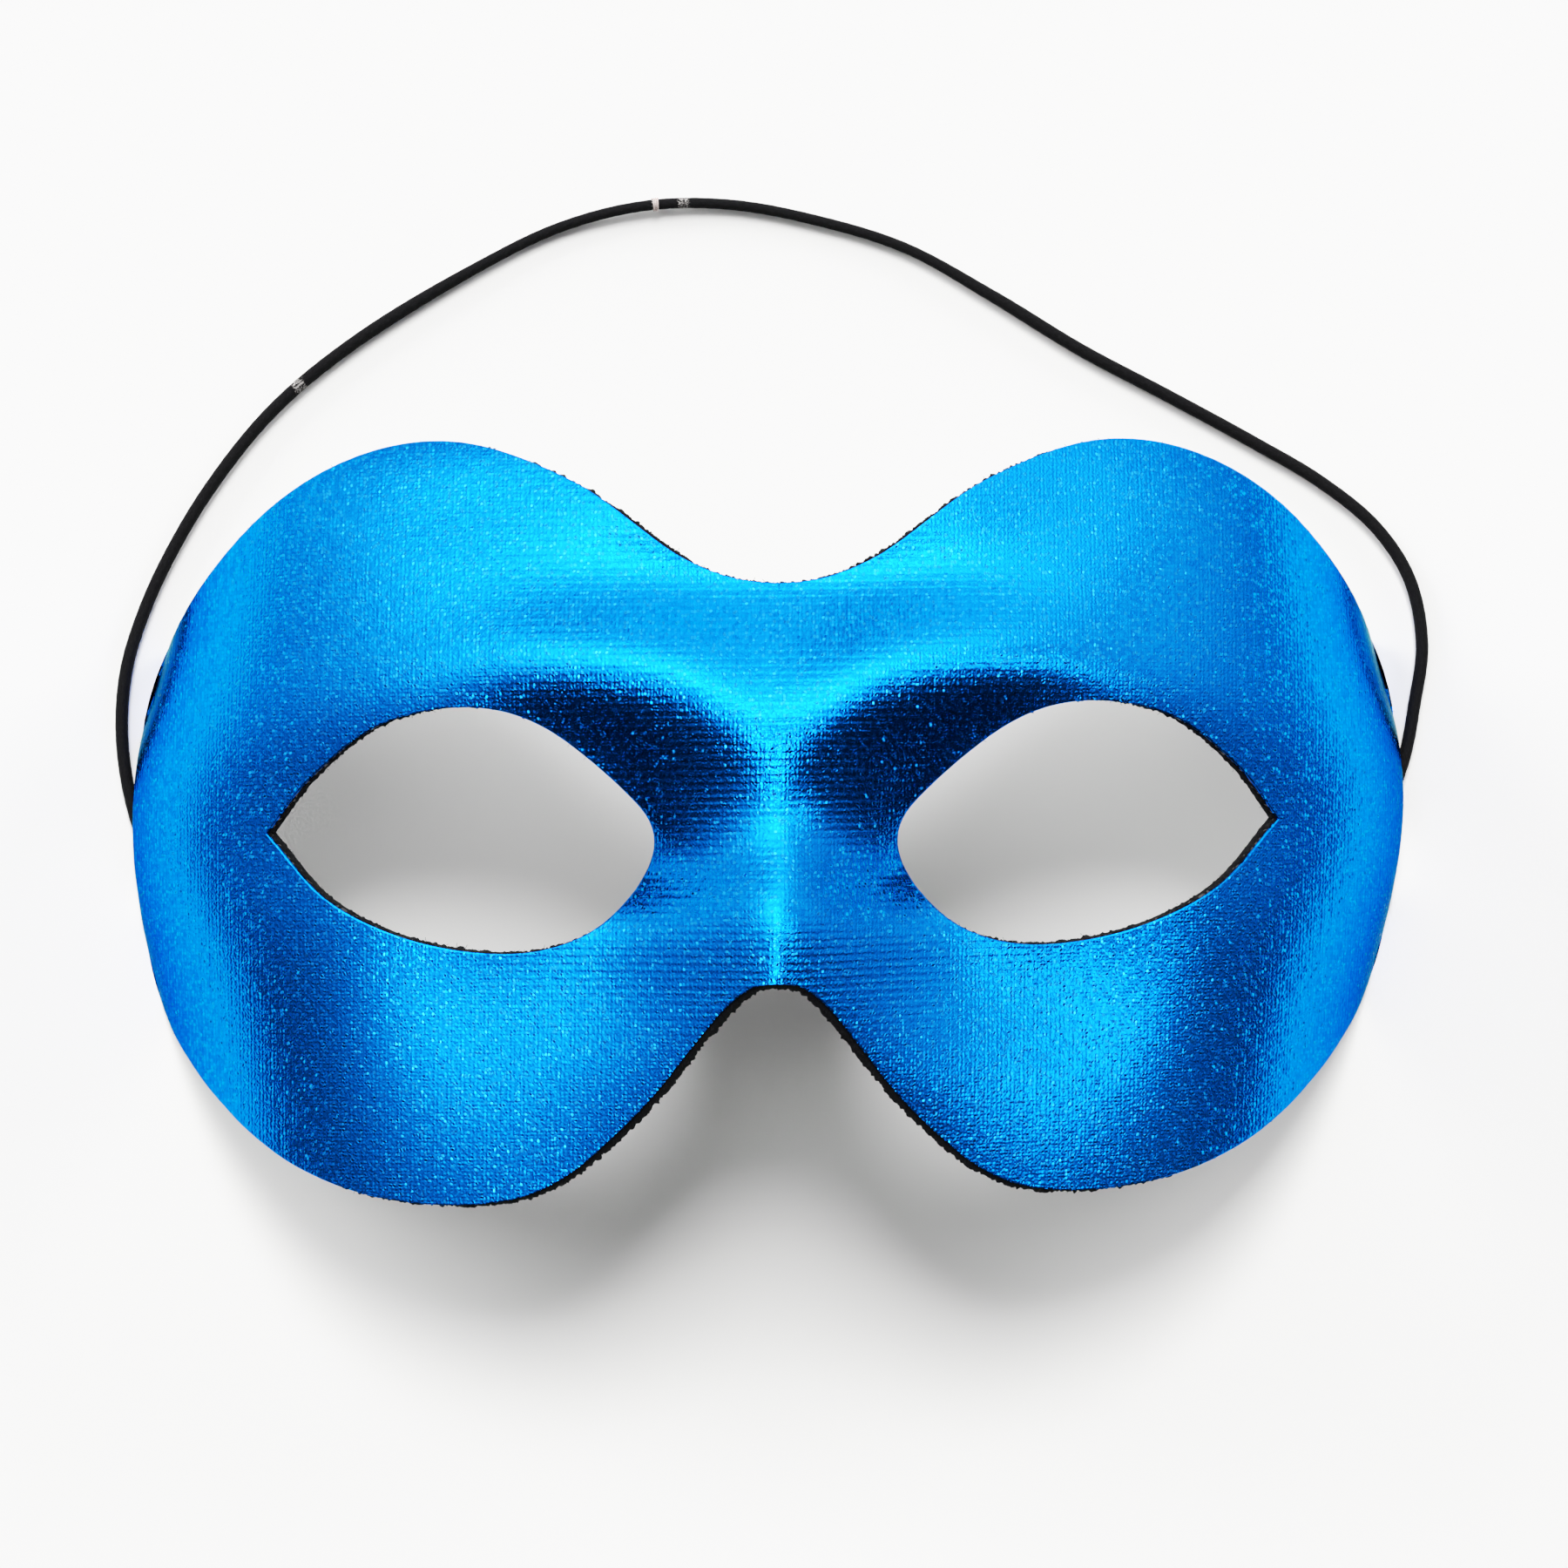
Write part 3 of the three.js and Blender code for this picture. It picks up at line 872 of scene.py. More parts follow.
@dataclass
class Laminate:
    """The face cloth, the plastic shell and the felt lining, which share one form.

    The flat size is the form's longest arcs across the face and up over cheek and brow.
    """

    knit: bpy.types.Material
    plastic: bpy.types.Material
    felt: bpy.types.Material
    flat_size: tuple[float, float] = (0.208, 0.102)
    stretch: float = 0.55
    arc_steps: int = 400
    arc_reach: float = 1.02
    lip_radius: float = 0.00010
    rim_steps: int = 4000

    def rim_tree(self) -> KDTree:
        """Gathers points of the front along the cut edges, to measure distances from.

        Returns:
            The points, in a tree.
        """
        lines = []
        for side in Side:
            for line in (FORM.half_outline(), FORM.eye_line()):
                flat = spread(line, self.rim_steps)
                lines.append(FORM.front(side.value * flat[:, 0], flat[:, 1]))
        points = np.vstack(lines)
        tree = KDTree(len(points))
        for number, point in enumerate(points):
            tree.insert(point, number)
        tree.balance()
        return tree

    def lip_depth(self, x: Array, y: Array, tree: KDTree) -> Array:
        """How far the cloth's front rolls back beside its cut edges.

        Args:
            x: Places across the face, to the mask's right.
            y: Places along the middle line.
            tree: Points along the cut edges.

        Returns:
            The depths.
        """
        points = FORM.front(x, y).reshape(-1, 3)
        away = np.array([tree.find(point)[2] for point in points]).reshape(x.shape)
        short = np.maximum(self.lip_radius - away, 0)
        return self.lip_radius - np.sqrt(self.lip_radius**2 - short**2)

    def flat_place(self, x: Array, y: Array) -> Array:
        """Places on the cloth before it was stretched over the form.

        Args:
            x: Places across the face, to the mask's right.
            y: Places along the middle line.

        Returns:
            The flat places, in metres.
        """
        steps = np.linspace(0, FORM.half_width * self.arc_reach, self.arc_steps)
        drop = np.gradient(FORM.height(steps, np.zeros_like(steps)), steps)
        run = np.concatenate([[0], np.cumsum(np.sqrt(1 + drop[1:] ** 2) * np.diff(steps))])
        round_face = np.sign(x) * np.interp(np.abs(x), steps, run)
        return np.stack([x + (round_face - x) * (1 - self.stretch), y], axis=-1)

    def build(self, name: str, layer: Layer, material: bpy.types.Material) -> bpy.types.Object:
        """Makes one layer as a closed sheet.

        Args:
            name: The piece's name.
            layer: Which layer it is.
            material: Its finish.

        Returns:
            The object.
        """
        places = GRID.places()
        shared = np.zeros(places.shape[:2], dtype=bool)
        shared[:, -1] = GRID.on_middle()
        tree = self.rim_tree() if layer is Layer.CLOTH else None
        vertices, flats, numbers = [], [], {}
        count = 0
        for side in Side:
            x, y = side.value * places[..., 0], places[..., 1]
            fresh = ~shared if side is Side.RIGHT else np.ones_like(shared)
            for place, depth in enumerate(layer.value):
                depths = np.full(x.shape, depth)
                if tree is not None and place == 0:
                    depths += self.lip_depth(x, y, tree)
                number = np.zeros(x.shape, dtype=int)
                number[fresh] = count + np.arange(fresh.sum())
                if side is Side.RIGHT:
                    number[shared] = numbers[Side.LEFT, place][shared]
                count += int(fresh.sum())
                numbers[side, place] = number
                vertices.append(FORM.layer(x, y, depths)[fresh])
                flats.append(self.flat_place(x, y)[fresh])
        faces = np.vstack([self.half_faces(numbers, side) for side in Side])
        return make_piece(name, np.vstack(vertices), faces.tolist(), material, np.vstack(flats))

    @staticmethod
    def half_faces(numbers: dict[tuple[Side, int], Array], side: Side) -> Array:
        """The faces of one half of a sheet.

        Args:
            numbers: The vertex numbers by column and ring, for each half and for its front and back.
            side: Which half.

        Returns:
            Four vertex numbers for each face.
        """
        front, back = numbers[side, 0], numbers[side, 1]
        front_next, back_next = np.roll(front, -1, axis=0), np.roll(back, -1, axis=0)
        middle = GRID.on_middle()
        cut = ~(middle & np.roll(middle, -1))
        faces = np.vstack([
            quads(front[:, :-1], front[:, 1:], front_next[:, 1:], front_next[:, :-1]),
            quads(back[:, :-1], back_next[:, :-1], back_next[:, 1:], back[:, 1:]),
            quads(front[:, 0], front_next[:, 0], back_next[:, 0], back[:, 0]),
            quads(front[cut, -1], back[cut, -1], back_next[cut, -1], front_next[cut, -1]),
        ])
        return faces[:, ::-1] if side is Side.LEFT else faces

    @staticmethod
    def area(piece: bpy.types.Object) -> float:
        """The area of a thin closed sheet's front.

        Args:
            piece: The sheet.

        Returns:
            Half the area of all its faces, in square metres.
        """
        faces = piece.data.polygons
        areas = np.zeros(len(faces))
        faces.foreach_get("area", areas)
        return float(areas.sum()) / 2

    def make(self) -> None:
        cloth = settle(self.build("foil_knit_face", Layer.CLOTH, self.knit), Slot.FACE_CLOTH, "face_cloth")
        shell = settle(self.build("formed_shell", Layer.PLASTIC, self.plastic), Slot.SHELL, "plastic_shell")
        lining = settle(self.build("felt_backing", Layer.FELT, self.felt), Slot.FELT, "felt_lining")
        for sheet in (cloth, lining):
            area = self.area(sheet)


# The cut edges


@dataclass(frozen=True)
class Edge:
    """A closed cut edge, seen from above, and how far its felt and plastic stand proud of the cloth.

    The open air is on the line's right where outward_turn is 1, and on its left where it is -1.
    """

    name: str
    line: Array
    outward_turn: int
    bulge: float
    arch_felt: float = 0.0


@dataclass
class CutEdge:
    """The felt and plastic that show along the cut edges, with loose fibres on them.

    Each point of the section has its share of the edge's bulge and its depth behind the cloth's front. One
    with a negative share is tucked in behind the cloth. A fibre's bend is counted in fibre lengths.
    """

    felt: bpy.types.Material
    section: tuple[tuple[float, float], ...] = (
        (-1.0, 0.00050), (0.1, 0.00040), (0.7, 0.00060), (1.0, 0.00095), (1.05, 0.00135), (0.75, 0.00175),
        (0.1, 0.00202), (-1.0, 0.00195),
    )
    step: float = 0.00022
    reach: float = 0.0002
    bulge: float = 0.00022
    eye_bulge: float = 0.00010
    arch_felt: float = 0.00055
    arch_half_width: float = 0.044
    arch_fade: float = 0.018
    slow_share: float = 0.5
    slow_steps: int = 9
    quick_steps: int = 2
    quick_full_from: float = 0.5
    waviness: float = 0.6
    roughness: float = 0.00022
    tuck: float = 0.0004
    off_table: float = 0.00002
    fibres_per_area: float = 1.9e6
    fibre_length: float = 0.0011
    fibre_radius: float = 0.000028
    fibre_lean: float = 0.75
    shortest_fibre: float = 0.3
    fibre_steps: int = 4
    fibre_sides: int = 3
    fibre_bend: tuple[tuple[float, float, float], ...] = (
        (0, 0, -0.12), (0, 0, 0.4), (0.3, 0, 0.75), (0.62, 0, 0.68),
    )
    seed: int = 7

    def ring(self, edge: Edge) -> bpy.types.Object:
        """Makes the fuzzy band along one cut edge, with its faces still turned inwards.

        Args:
            edge: The edge.

        Returns:
            The object.
        """
        closed = np.vstack([edge.line, edge.line[:1]])
        flat = spread(closed, int(run_along(closed)[-1] / self.step))[:-1]
        heading = unit(np.roll(flat, -1, axis=0) - np.roll(flat, 1, axis=0))
        away = np.stack([heading[:, 1], -heading[:, 0]], axis=1) * edge.outward_turn
        base = FORM.front(*flat.T)
        out = unit(FORM.front(*(flat + away * self.reach).T) - base)
        back = -FORM.outward(*flat.T)
        below = flat[:, 1] < 0
        near_arch = below * np.clip((self.arch_half_width - np.abs(flat[:, 0])) / self.arch_fade, 0, 1)
        random = np.random.default_rng(self.seed + len(flat))
        slow = self.slow_share * self.wavy(random, len(flat), self.slow_steps)
        full = edge.bulge * (1 + slow) + edge.arch_felt * near_arch
        rows = []
        for share, depth in self.section:
            proud = np.full(len(flat), -self.tuck)
            if share > 0:
                quick = self.roughness * self.wavy(random, len(flat), self.quick_steps)
                proud = full * share + quick * min(share / self.quick_full_from, 1)
            rows.append(base + out * proud[:, None] + back * depth)
        points = np.stack(rows, axis=1)
        points[..., 2] = np.maximum(points[..., 2], self.off_table)
        number = np.arange(len(flat) * len(rows)).reshape(len(flat), len(rows))
        onward, beside = np.roll(number, -1, axis=0), np.roll(number, -1, axis=1)
        faces = quads(number, beside, np.roll(onward, -1, axis=1), onward)
        if edge.outward_turn > 0:
            faces = faces[:, ::-1]
        name = f"cut_edge_{edge.name}"
        return make_piece(name, points.reshape(-1, 3), faces.tolist(), self.felt, crease=180)

    def wavy(self, random: np.random.Generator, count: int, width: int) -> Array:
        """Noise along a closed line, mostly between -1 and 1.

        Args:
            random: Where it is drawn from.
            count: How many points the line has.
            width: How many steps it is evened out over.

        Returns:
            The noise at each point.
        """
        noise = random.standard_normal(count)
        kernel = np.ones(width) / math.sqrt(width)
        closed = np.concatenate([noise, noise[: width - 1]])
        return np.convolve(closed, kernel, mode="valid") * self.waviness

    def fibre_tree(self) -> bpy.types.NodeTree:
        """Builds the node tree that scatters bent fibres over a band's faces.

        Returns:
            The tree.
        """
        tree = bpy.data.node_groups.new("loose_fibres", "GeometryNodeTree")
        work = NodeWork(tree)
        sockets = {
            "Geometry": "Geometry", "Density": "Float", "Length": "Float", "Radius": "Float", "Seed": "Int",
            "Material": "Material",
        }
        for name, kind in sockets.items():
            tree.interface.new_socket(name, in_out="INPUT", socket_type=f"NodeSocket{kind}")
        tree.interface.new_socket("Geometry", in_out="OUTPUT", socket_type="NodeSocketGeometry")
        given = work.node("NodeGroupInput").outputs
        band = {"Mesh": given["Geometry"], "Density": given["Density"], "Seed": given["Seed"]}
        scatter = work.node("GeometryNodeDistributePointsOnFaces", band).outputs

        corners = dict(zip(("Start", "Start Handle", "End Handle", "End"), self.fibre_bend))
        segment = {"Resolution": self.fibre_steps, **corners}
        bend = work.node("GeometryNodeCurvePrimitiveBezierSegment", segment)
        size = work.node("ShaderNodeCombineXYZ", {axis: given["Length"] for axis in "XYZ"})
        sized = {"Geometry": bend.outputs["Curve"], "Scale": size.outputs["Vector"]}
        hair = work.node("GeometryNodeTransform", sized)
        circle = {"Resolution": self.fibre_sides, "Radius": given["Radius"]}
        section = work.node("GeometryNodeCurvePrimitiveCircle", circle)
        fibre = work.node("GeometryNodeCurveToMesh", {
            "Curve": hair.outputs["Geometry"], "Profile Curve": section.outputs["Curve"], "Fill Caps": True,
        })

        most = (self.fibre_lean, self.fibre_lean, math.pi)
        least = tuple(-angle for angle in most)
        turns = {"Min": least, "Max": most, "Seed": given["Seed"]}
        turn = work.node("FunctionNodeRandomValue", turns, data_type="FLOAT_VECTOR")
        turned = {"Rotation": scatter["Rotation"], "Rotate By": turn.outputs["Value"]}
        rotate = work.node("FunctionNodeRotateRotation", turned, rotation_space="LOCAL")
        share = work.node("FunctionNodeRandomValue", {2: self.shortest_fibre, 3: 1.0, "Seed": given["Seed"]})
        plant = work.node("GeometryNodeInstanceOnPoints", {
            "Points": scatter["Points"], "Instance": fibre.outputs["Mesh"],
            "Rotation": rotate.outputs["Rotation"], "Scale": share.outputs[1],
        })
        real = work.node("GeometryNodeRealizeInstances", {"Geometry": plant.outputs["Instances"]})
        dressing = {"Geometry": real.outputs["Geometry"], "Material": given["Material"]}
        dress = work.node("GeometryNodeSetMaterial", dressing)
        work.node("NodeGroupOutput", {"Geometry": dress.outputs["Geometry"]})
        return tree

    def grow_fibres(self, name: str, band: bpy.types.Object, tree: bpy.types.NodeTree) -> bpy.types.Object:
        """Makes the loose fibres of one band as a plain mesh.

        Args:
            name: The piece's name.
            band: The band that they stand on.
            tree: The node tree that scatters them.

        Returns:
            The object.
        """
        modifier = band.modifiers.new("fibres", "NODES")
        modifier.node_group = tree
        values = {
            "Density": self.fibres_per_area,
            "Length": self.fibre_length,
            "Radius": self.fibre_radius,
            "Seed": self.seed,
            "Material": self.felt,
        }
        for item in tree.interface.items_tree:
            if item.in_out == "INPUT" and item.name in values:
                modifier[item.identifier] = values[item.name]
        depsgraph = bpy.context.evaluated_depsgraph_get()
        mesh = bpy.data.meshes.new_from_object(band.evaluated_get(depsgraph))
        band.modifiers.remove(modifier)
        mesh.name = name
        places = np.zeros(3 * len(mesh.vertices))
        mesh.vertices.foreach_get("co", places)
        places[2::3] = np.maximum(places[2::3], self.off_table)
        mesh.vertices.foreach_set("co", places)
        return add_object(name, mesh)

    def make(self) -> None:
        """Builds the bands and fibres along the outline and both eye holes.

        A band's faces point inwards until its fibres have grown, so that those that show root in its inner
        wall and come out through its outer one.
        """
        half = FORM.half_outline()
        outline = np.vstack([half[:-1], (half * (-1, 1))[::-1][:-1]])
        eye = FORM.eye_line()[:-1]
        tree = self.fibre_tree()
        edges = (
            Edge("outline", outline, -1, self.bulge, self.arch_felt),
            Edge("right_eye", eye, -1, self.eye_bulge),
            Edge("left_eye", eye * (-1, 1), 1, self.eye_bulge),
        )
        for edge in edges:
            band = self.ring(edge)
            fibres = self.grow_fibres(f"edge_fibres_{edge.name}", band, tree)
            band.data.flip_normals()
            settle(band, Slot.FELT)
            settle(fibres, Slot.FELT)


# The head cord


def headings(line: Array) -> Array:
    """The direction in which a line runs at each of its points."""
    return unit(np.gradient(line, axis=0))


def frames(line: Array) -> tuple[Array, Array]:
    """The sideways and upward directions at each point of a line that is never upright."""
    sideways = unit(np.cross(headings(line), (0, 0, 1)))
    return sideways, np.cross(sideways, headings(line))


@dataclass
class HeadCord:
    """The round elastic cord that runs from temple to temple.

    It is thinner where it is stretched round the middle. Each worn place has its share of the cord's length
    and half its width in metres.
    """

    elastic: bpy.types.Material
    diameter: float = 0.0017
    full: float = 0.00177
    thin: float = 0.00147
    thin_at: float = 0.485
    thin_reach: float = 0.165
    thin_fade: float = 0.07
    lift: float = 0.0009
    ring_lift: float = 0.00115
    off_table: float = 0.00001
    sides: int = 32
    step: float = 0.00018
    path_step: int = 4
    strands: int = 6
    lay: float = 0.0021
    strand_height: float = 0.00007
    over_share: float = 0.7
    under_share: float = 0.3
    worn: tuple[tuple[float, float], ...] = ((0.272, 0.0022), (0.4735, 0.0020), (0.4595, 0.0006))
    wear_strength: float = 1.3

    def route(self) -> Array:
        """The points that the cord passes, from the left tab over the table to the right tab.

        Returns:
            The points.
        """
        low, ring = self.lift, self.ring_lift
        points = [
            (-0.0813, -0.0083, 0.0063), (-0.0830, -0.0066, 0.0036), (-0.0851, -0.0038, 0.0014),
            (-0.0869, 0.0002, low), (-0.0885, 0.0073, low), (-0.0890, 0.0145, low), (-0.0882, 0.0220, low),
            (-0.0858, 0.0295, low), (-0.0822, 0.0372, low), (-0.0763, 0.0468, low), (-0.0677, 0.0572, low),
            (-0.0568, 0.0661, low), (-0.0402, 0.0761, low), (-0.0278, 0.0820, low), (-0.0161, 0.0848, ring),
            (-0.0045, 0.0849, low), (0.0079, 0.0825, low), (0.0199, 0.0786, low), (0.0319, 0.0718, low),
            (0.0439, 0.0643, low), (0.0559, 0.0578, low), (0.0679, 0.0511, low), (0.0770, 0.0456, low),
            (0.0846, 0.0392, low), (0.0892, 0.0319, low), (0.0908, 0.0229, low), (0.0896, 0.0145, low),
            (0.0882, 0.0076, low), (0.0860, 0.0019, 0.0013), (0.0835, -0.0015, 0.0036),
            (0.0817, -0.0035, 0.0064),
        ]
        return np.array(points) - (0, FORM.middle_of_length, 0)

    def radius(self, share: Array) -> Array:
        """The cord's radius without its braid.

        Args:
            share: Places along it, from 0 to 1.

        Returns:
            The radii.
        """
        stretched = np.clip((self.thin_reach - np.abs(share - self.thin_at)) / self.thin_fade, 0, 1)
        eased = stretched**2 * (3 - 2 * stretched)
        return (self.full - (self.full - self.thin) * eased) / 2

    def braid(self, run: Array, angle: Array) -> Array:
        """How far the braided strands stand out.

        Args:
            run: Distances along the cord.
            angle: Angles round it.

        Returns:
            Shares of the strands' height, by distance and angle.
        """
        turns = self.strands * angle[None, :] / (2 * math.pi)
        along = run[:, None] / self.lay
        right, left = turns + along, turns - along
        right_over = (np.floor(right) + np.floor(left)) % 2 < 1
        right, left = np.sin(math.pi * (right % 1)), np.sin(math.pi * (left % 1))
        over, under = np.where(right_over, right, left), np.where(right_over, left, right)
        return self.over_share * np.sqrt(over) + self.under_share * under

    def build(self, line: Array) -> bpy.types.Object:
        """Makes the braided tube.

        Args:
            line: Its centre line.

        Returns:
            The object.
        """
        run = run_along(line)
        angle = round_turn(self.sides)
        radii = self.radius(run / run[-1])[:, None] - self.strand_height * (1 - self.braid(run, angle))
        sideways, upward = (direction[:, None] for direction in frames(line))
        spoke = np.cos(angle)[None, :, None] * sideways + np.sin(angle)[None, :, None] * upward
        points = line[:, None] + spoke * radii[..., None]
        points[..., 2] = np.maximum(points[..., 2], self.off_table)
        round_it = np.tile(angle, len(line)) * self.diameter / 2
        flat = np.stack([np.repeat(run, self.sides), round_it], axis=1)
        faces = tube_faces(len(line), self.sides)
        cord = make_piece("braided_cord", points.reshape(-1, 3), faces, self.elastic, flat, crease=70)
        wear = np.zeros(len(run))
        for share, half in self.worn:
            from_place = np.abs(run - share * run[-1]) / half
            wear = np.maximum(wear, np.clip(self.wear_strength - from_place, 0, 1))
        attribute = cord.data.attributes.new(WEAR, "FLOAT", "POINT")
        attribute.data.foreach_set("value", np.repeat(wear, self.sides).astype(np.float32))
        return cord

    def make(self, thread: bpy.types.Object) -> None:
        """Args:
            thread: The thread that is wound on it; not used.
        """
        smooth = centripetal_line(self.route())
        length = run_along(smooth)[-1]
        line = spread(smooth, int(length / self.step))
        cord = settle(self.build(line), Slot.ELASTIC, "elastic_cord")
        log.info("cord length %.1f mm", length / MM)


@dataclass
class ThreadRing:
    """A few turns of pale thread wound round the cord, with two short ends."""

    thread: bpy.types.Material
    cord: HeadCord
    share: float = 0.4605
    turns: float = 3.2
    first_angle: float = 0.6
    half_width: float = 0.0004
    radius: float = 0.00012
    radii_out: float = 0.8
    steps: int = 120
    sides: int = 8
    first_spoke_square_to: tuple[float, float, float] = (0.3, 0.2, 1.0)

    def centre_line(self) -> Array:
        """The thread's own line, a helix round the cord.

        Returns:
            Its points.
        """
        smooth = centripetal_line(self.cord.route())
        wound = np.linspace(-1, 1, self.steps)
        centre = along_line(self.share * run_along(smooth)[-1] + self.half_width * wound, smooth)
        sideways, upward = frames(centre)
        around = math.pi * self.turns * wound + self.first_angle
        out = self.cord.thin / 2 + self.radius * self.radii_out
        return centre + out * (np.cos(around)[:, None] * sideways + np.sin(around)[:, None] * upward)

    def make(self) -> bpy.types.Object:
        """Winds the thread as a round closed tube, by directions carried along its line.

        Returns:
            The object.
        """
        line = self.centre_line()
        heading = headings(line)
        normal = unit(np.cross(heading[0], self.first_spoke_square_to))
        angle = -round_turn(self.sides)
        points = []
        for place, ahead in zip(line, heading):
            normal = unit(normal - ahead * np.dot(normal, ahead))
            spokes = np.cos(angle)[:, None] * normal + np.sin(angle)[:, None] * np.cross(ahead, normal)
            points.append(place + self.radius * spokes)
        faces = tube_faces(self.steps, self.sides)
        ring = make_piece("thread_whipping", np.vstack(points), faces, self.thread, crease=70)
        return settle(ring, Slot.THREAD, "thread_ring")


@dataclass
class CordTab:
    """A felt tab that holds one end of the cord inside a temple. Its length runs up the temple."""

    felt: bpy.types.Material
    side: Side
    middle: float
    cells: tuple[int, int, int] = (14, 26, 4)
    inner_x: float = 0.0792
    outer_x: float = 0.0834
    length: float = 0.010
    near_depth: float = 0.0029
    thickness: float = 0.0020
    corner_loss: float = 0.16
    corner_power: int = 3
    edge_loss: float = 0.5
    edge_power: int = 6
    ragged: float = 0.00003
    ragged_from: float = 0.95
    seed: int = 3

    def make(self) -> None:
        """Builds the tab as a slab with soft edges, which follows the temple's inside."""
        places = np.indices([count + 1 for count in self.cells])
        across, along, through = (place / count for place, count in zip(places, self.cells))
        s, t = 2 * across - 1, 2 * along - 1
        to_edge = np.maximum(np.abs(s), np.abs(t))
        rounded = 1 - self.corner_loss * (np.abs(s) ** self.corner_power) * (np.abs(t) ** self.corner_power)
        puff = 1 - self.edge_loss * to_edge**self.edge_power
        random = np.random.default_rng(self.seed + self.side.value)
        ragged = random.normal(0, self.ragged, s.shape) * (to_edge > self.ragged_from)
        half_width = (self.outer_x - self.inner_x) / 2
        x = self.side.value * ((self.inner_x + self.outer_x) / 2 + half_width * s * rounded)
        y = self.middle + self.length / 2 * t * rounded + ragged
        points = FORM.layer(x, y, self.near_depth + self.thickness * (0.5 + (through - 0.5) * puff))
        number = np.arange(s.size).reshape(s.shape)
        walls = (
            (number[..., 0], 1), (number[..., -1], -1), (number[0], 1),
            (number[-1], -1), (number[:, 0], -1), (number[:, -1], 1),
        )
        faces = np.vstack([
            quads(wall[:-1, :-1], wall[1:, :-1], wall[1:, 1:], wall[:-1, 1:])[:, :: turn * self.side.value]
            for wall, turn in walls
        ])
        used, compact = np.unique(faces, return_inverse=True)
        node = f"cord_tab_{self.side.name.lower()}"
        faces = compact.reshape(-1, 4).tolist()
        piece = make_piece(f"felt_{node}", points.reshape(-1, 3)[used], faces, self.felt, crease=50)
        settle(piece, Slot.FELT, node)


# The studio


@dataclass(frozen=True)
class Light:
    """A light's place in the room, its width and its strength.

    It stands so many degrees from straight up and, seen from above, so many degrees from +X towards +Y.
    """

    tilt: float
    azimuth: float
    width: float
    strength: float

    def direction(self) -> Vector:
        """The direction from the mask to the light."""
        azimuth = Matrix.Rotation(math.radians(self.azimuth), 4, "Z")
        return azimuth @ Matrix.Rotation(math.radians(self.tilt), 4, "Y") @ Vector((0, 0, 1))


@dataclass(frozen=True)
class Glow(Light):
    """A part of the room that glows and fades out evenly all round. Only glossy surfaces take its light."""

    def add_to(self, room: NodeWork, looking: Socket, total: Socket | float) -> Socket:
        """Adds this glow to the room's.

        Args:
            room: The room's nodes.
            looking: The direction looked in.
            total: The glow so far.

        Returns:
            The glow with this one in it.
        """
        sharp = 1 / self.width**2
        near = room.vector("DOT_PRODUCT", looking, self.direction())
        fade = room.math("EXPONENT", room.math("MULTIPLY_ADD", near, sharp, -sharp))
        return room.math("MULTIPLY_ADD", fade, self.strength, total)


@dataclass(frozen=True)
class Softbox(Light):
    """A far round soft light, so many degrees wide. It doesn't show in the foil."""

    def hang(self, name: str) -> None:
        """Hangs the light in the scene.

        Args:
            name: The light's name.
        """
        data = bpy.data.lights.new(name, "SUN")
        data.energy, data.angle = self.strength, math.radians(self.width)
        light = add_object(name, data)
        light.matrix_world = self.direction().to_track_quat("Z", "Y").to_matrix().to_4x4()
        light.visible_glossy = False


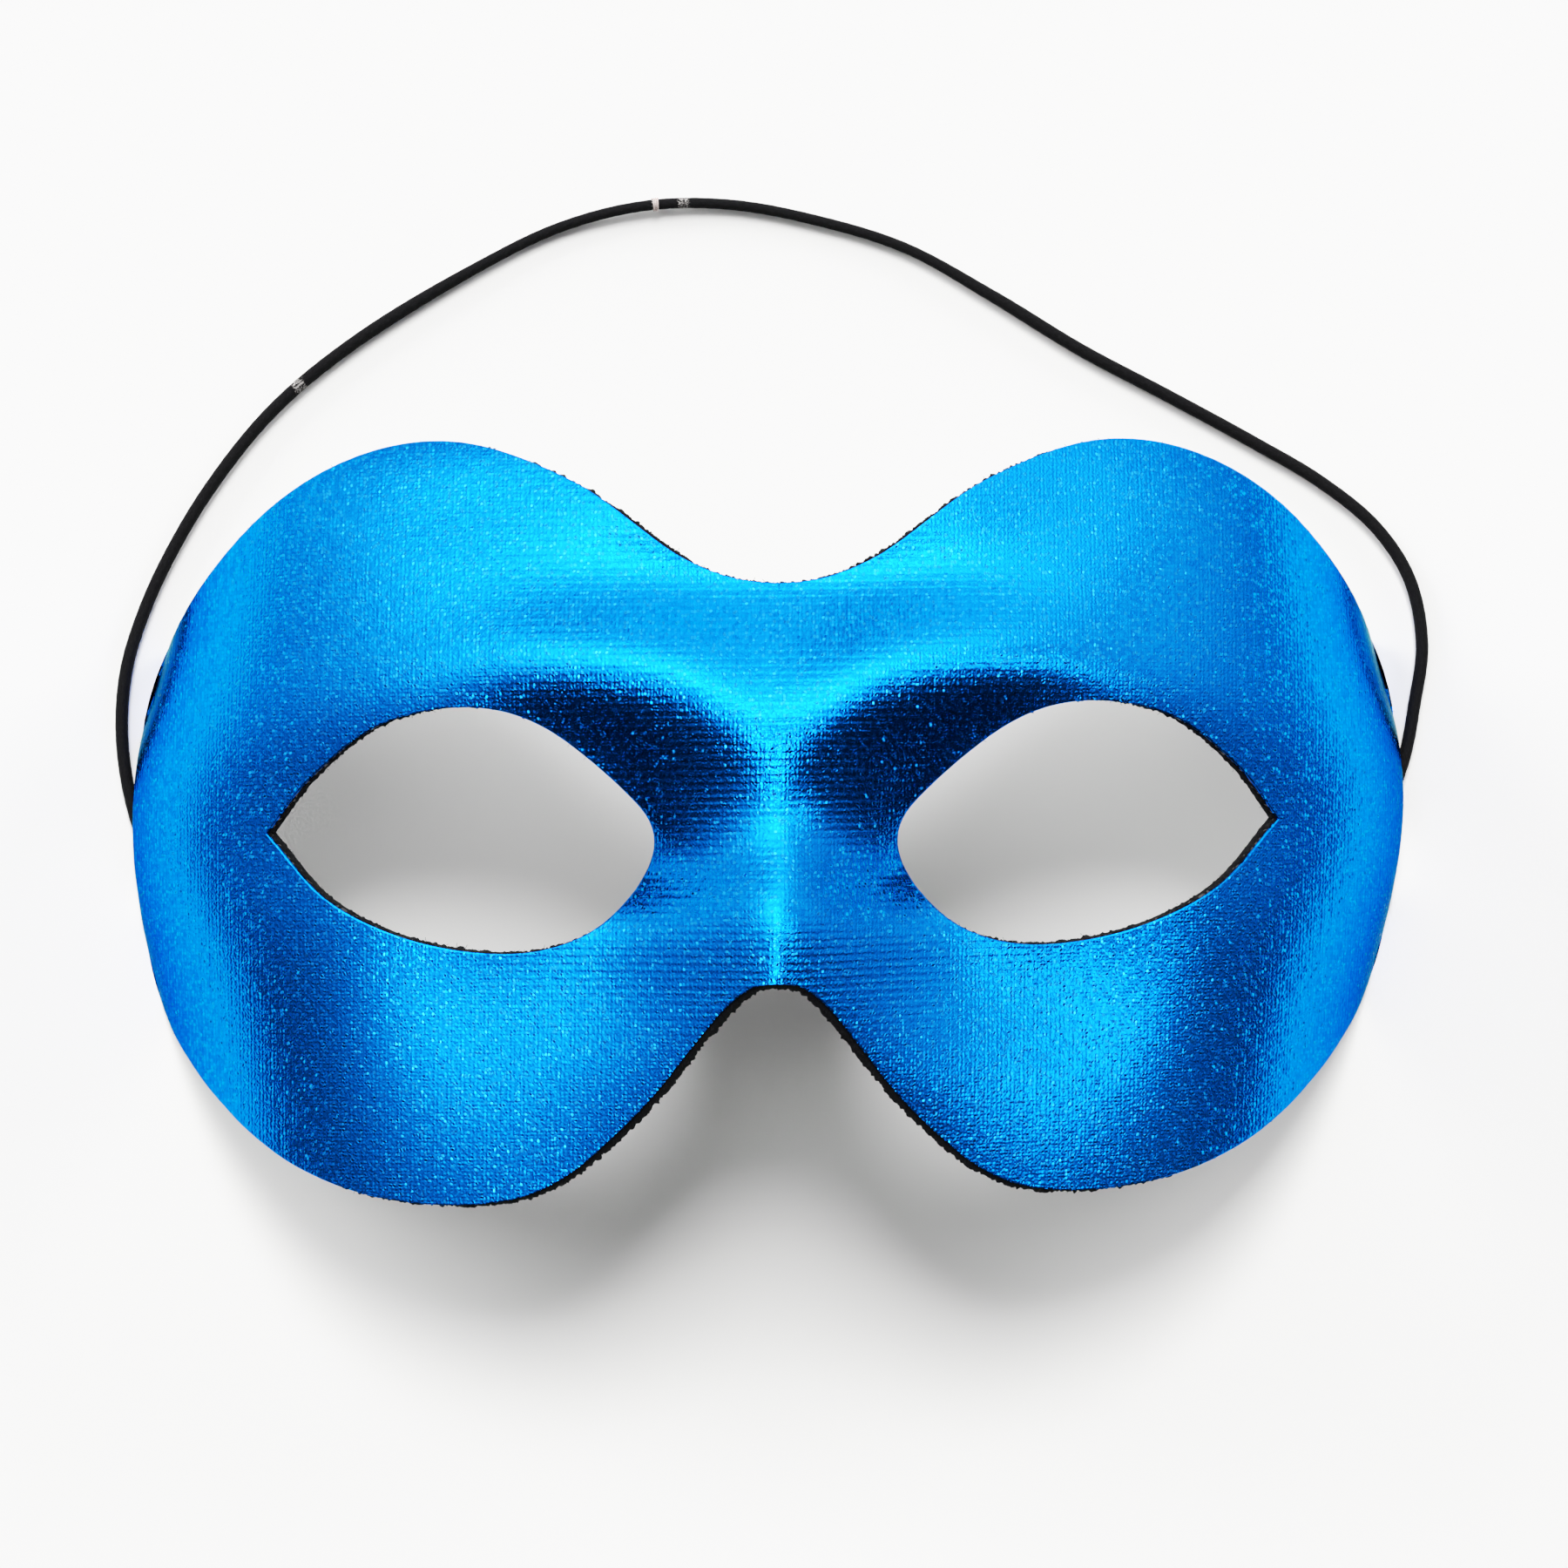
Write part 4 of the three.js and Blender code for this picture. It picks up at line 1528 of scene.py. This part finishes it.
@dataclass
class Studio:
    """The camera over the table, the soft lights and the white table top.

    The film's shoulder gives what the picture shows for each amount of light.
    """

    table: bpy.types.Material
    table_half: float = 3.0
    image_size: float = 1800.0
    focal_pixels: float = 4648.0
    sensor: float = 36.0
    camera_place: tuple[float, float, float] = (-0.013085, 0.00457, 0.560)
    camera_tilt: float = -0.02697
    camera_roll: float = -0.01418
    nearest: float = 0.01
    glow: float = 1.16
    ambient: float = 0.005
    backdrop: Colour = (3.0, 2.98, 2.95, 1)
    glows: tuple[Glow, ...] = (
        Glow(77.0, 78.5, 0.36, 2.6),
        Glow(27.0, 125.0, 0.305, 8.4),
        Glow(31.0, -4.0, 0.10, 9.3),
        Glow(25.0, -94.5, 0.095, 29.0),
        Glow(75.0, 150.5, 0.30, 1.65),
        Glow(60.0, 20.0, 0.29, 1.65),
        Glow(11.0, 71.5, 0.147, 11.8),
        Glow(42.5, 66.0, 0.176, 4.1),
        Glow(50.0, 182.0, 0.23, 0.3),
    )
    boxes: tuple[Softbox, ...] = (
        Softbox(40.0, 90.0, 24.0, 7.1),
        Softbox(38.5, 130.0, 66.0, 2.0),
        Softbox(80.5, 36.5, 30.0, 8.5),
        Softbox(82.0, 144.5, 33.0, 12.7),
    )
    shoulder: tuple[tuple[float, float], ...] = (
        (0.20, 0.20), (0.40, 0.40), (0.46, 0.434), (0.56, 0.49), (0.69, 0.552), (0.97, 0.658),
        (1.39, 0.761), (1.70, 0.83), (1.94, 0.878), (2.30, 0.93), (2.70, 0.958), (3.80, 0.985), (6.10, 0.995),
    )
    brightest: float = 14.0

    def make_camera(self) -> None:
        """Sets the camera over the mask, as the photograph was taken."""
        data = bpy.data.cameras.new("camera")
        data.sensor_width = self.sensor
        data.lens = self.focal_pixels / self.image_size * self.sensor
        data.clip_start = self.nearest
        camera = add_object("camera", data)
        tilt = Matrix.Rotation(self.camera_tilt, 4, "Y")
        roll = Matrix.Rotation(self.camera_roll, 4, "Z")
        camera.matrix_world = Matrix.Translation(self.camera_place) @ roll @ tilt
        bpy.context.scene.camera = camera

    def make_room(self) -> None:
        """Lights the room with its glows, over a plain pale background."""
        world = bpy.data.worlds.new("room")
        world.use_nodes = True
        world.cycles_visibility.diffuse = False
        bpy.context.scene.world = world
        room = NodeWork(world.node_tree)
        looking = room.node("ShaderNodeTexCoord").outputs["Generated"]
        total: Socket | float = self.ambient
        for glow in self.glows:
            total = glow.add_to(room, looking, total)
        lit = room.node("ShaderNodeBackground", {"Color": total, "Strength": self.glow})
        pale = room.node("ShaderNodeBackground", {"Color": self.backdrop})
        seen = room.node("ShaderNodeLightPath").outputs["Is Camera Ray"]
        shown = {0: seen, 1: lit.outputs["Background"], 2: pale.outputs["Background"]}
        choose = room.node("ShaderNodeMixShader", shown)
        room.node("ShaderNodeOutputWorld", {"Surface": choose.outputs["Shader"]})

    def make_film(self) -> None:
        """Gives the picture a camera's soft shoulder, so that bright places keep their drawing."""
        view = bpy.context.scene.view_settings
        view.view_transform = "Standard"
        view.use_curve_mapping = True
        mapping = view.curve_mapping
        mapping.white_level = (self.brightest,) * 3
        for light, shown in self.shoulder:
            mapping.curves[3].points.new(light / self.brightest, shown)
        mapping.update()

    def make_table(self) -> None:
        """Lays the table top under the mask."""
        corners = np.array([(-1, -1, 0), (1, -1, 0), (1, 1, 0), (-1, 1, 0)]) * self.table_half
        top = make_piece("table_top", corners, [[0, 1, 2, 3]], self.table)

    def make(self) -> None:
        """Builds the studio."""
        self.make_camera()
        self.make_room()
        for number, box in enumerate(self.boxes, 1):
            box.hang(f"softbox_{number}")
        self.make_film()
        self.make_table()


def main() -> None:
    """Builds the studio, the cord and the mask."""
    logging.basicConfig(level=logging.INFO, format="%(name)s: %(message)s")
    felt = BlackFelt().make()
    Studio(WhiteTable().make()).make()
    cord = HeadCord(BraidedElastic().make())
    cord.make(ThreadRing(PaleThread().make(), cord).make())
    CordTab(felt, Side.LEFT, middle=-0.0147).make()
    CordTab(felt, Side.RIGHT, middle=-0.0076).make()
    Laminate(FoilKnit().make(), BlackPlastic().make(), felt).make()
    CutEdge(felt).make()


if __name__ == "__main__":
    main()
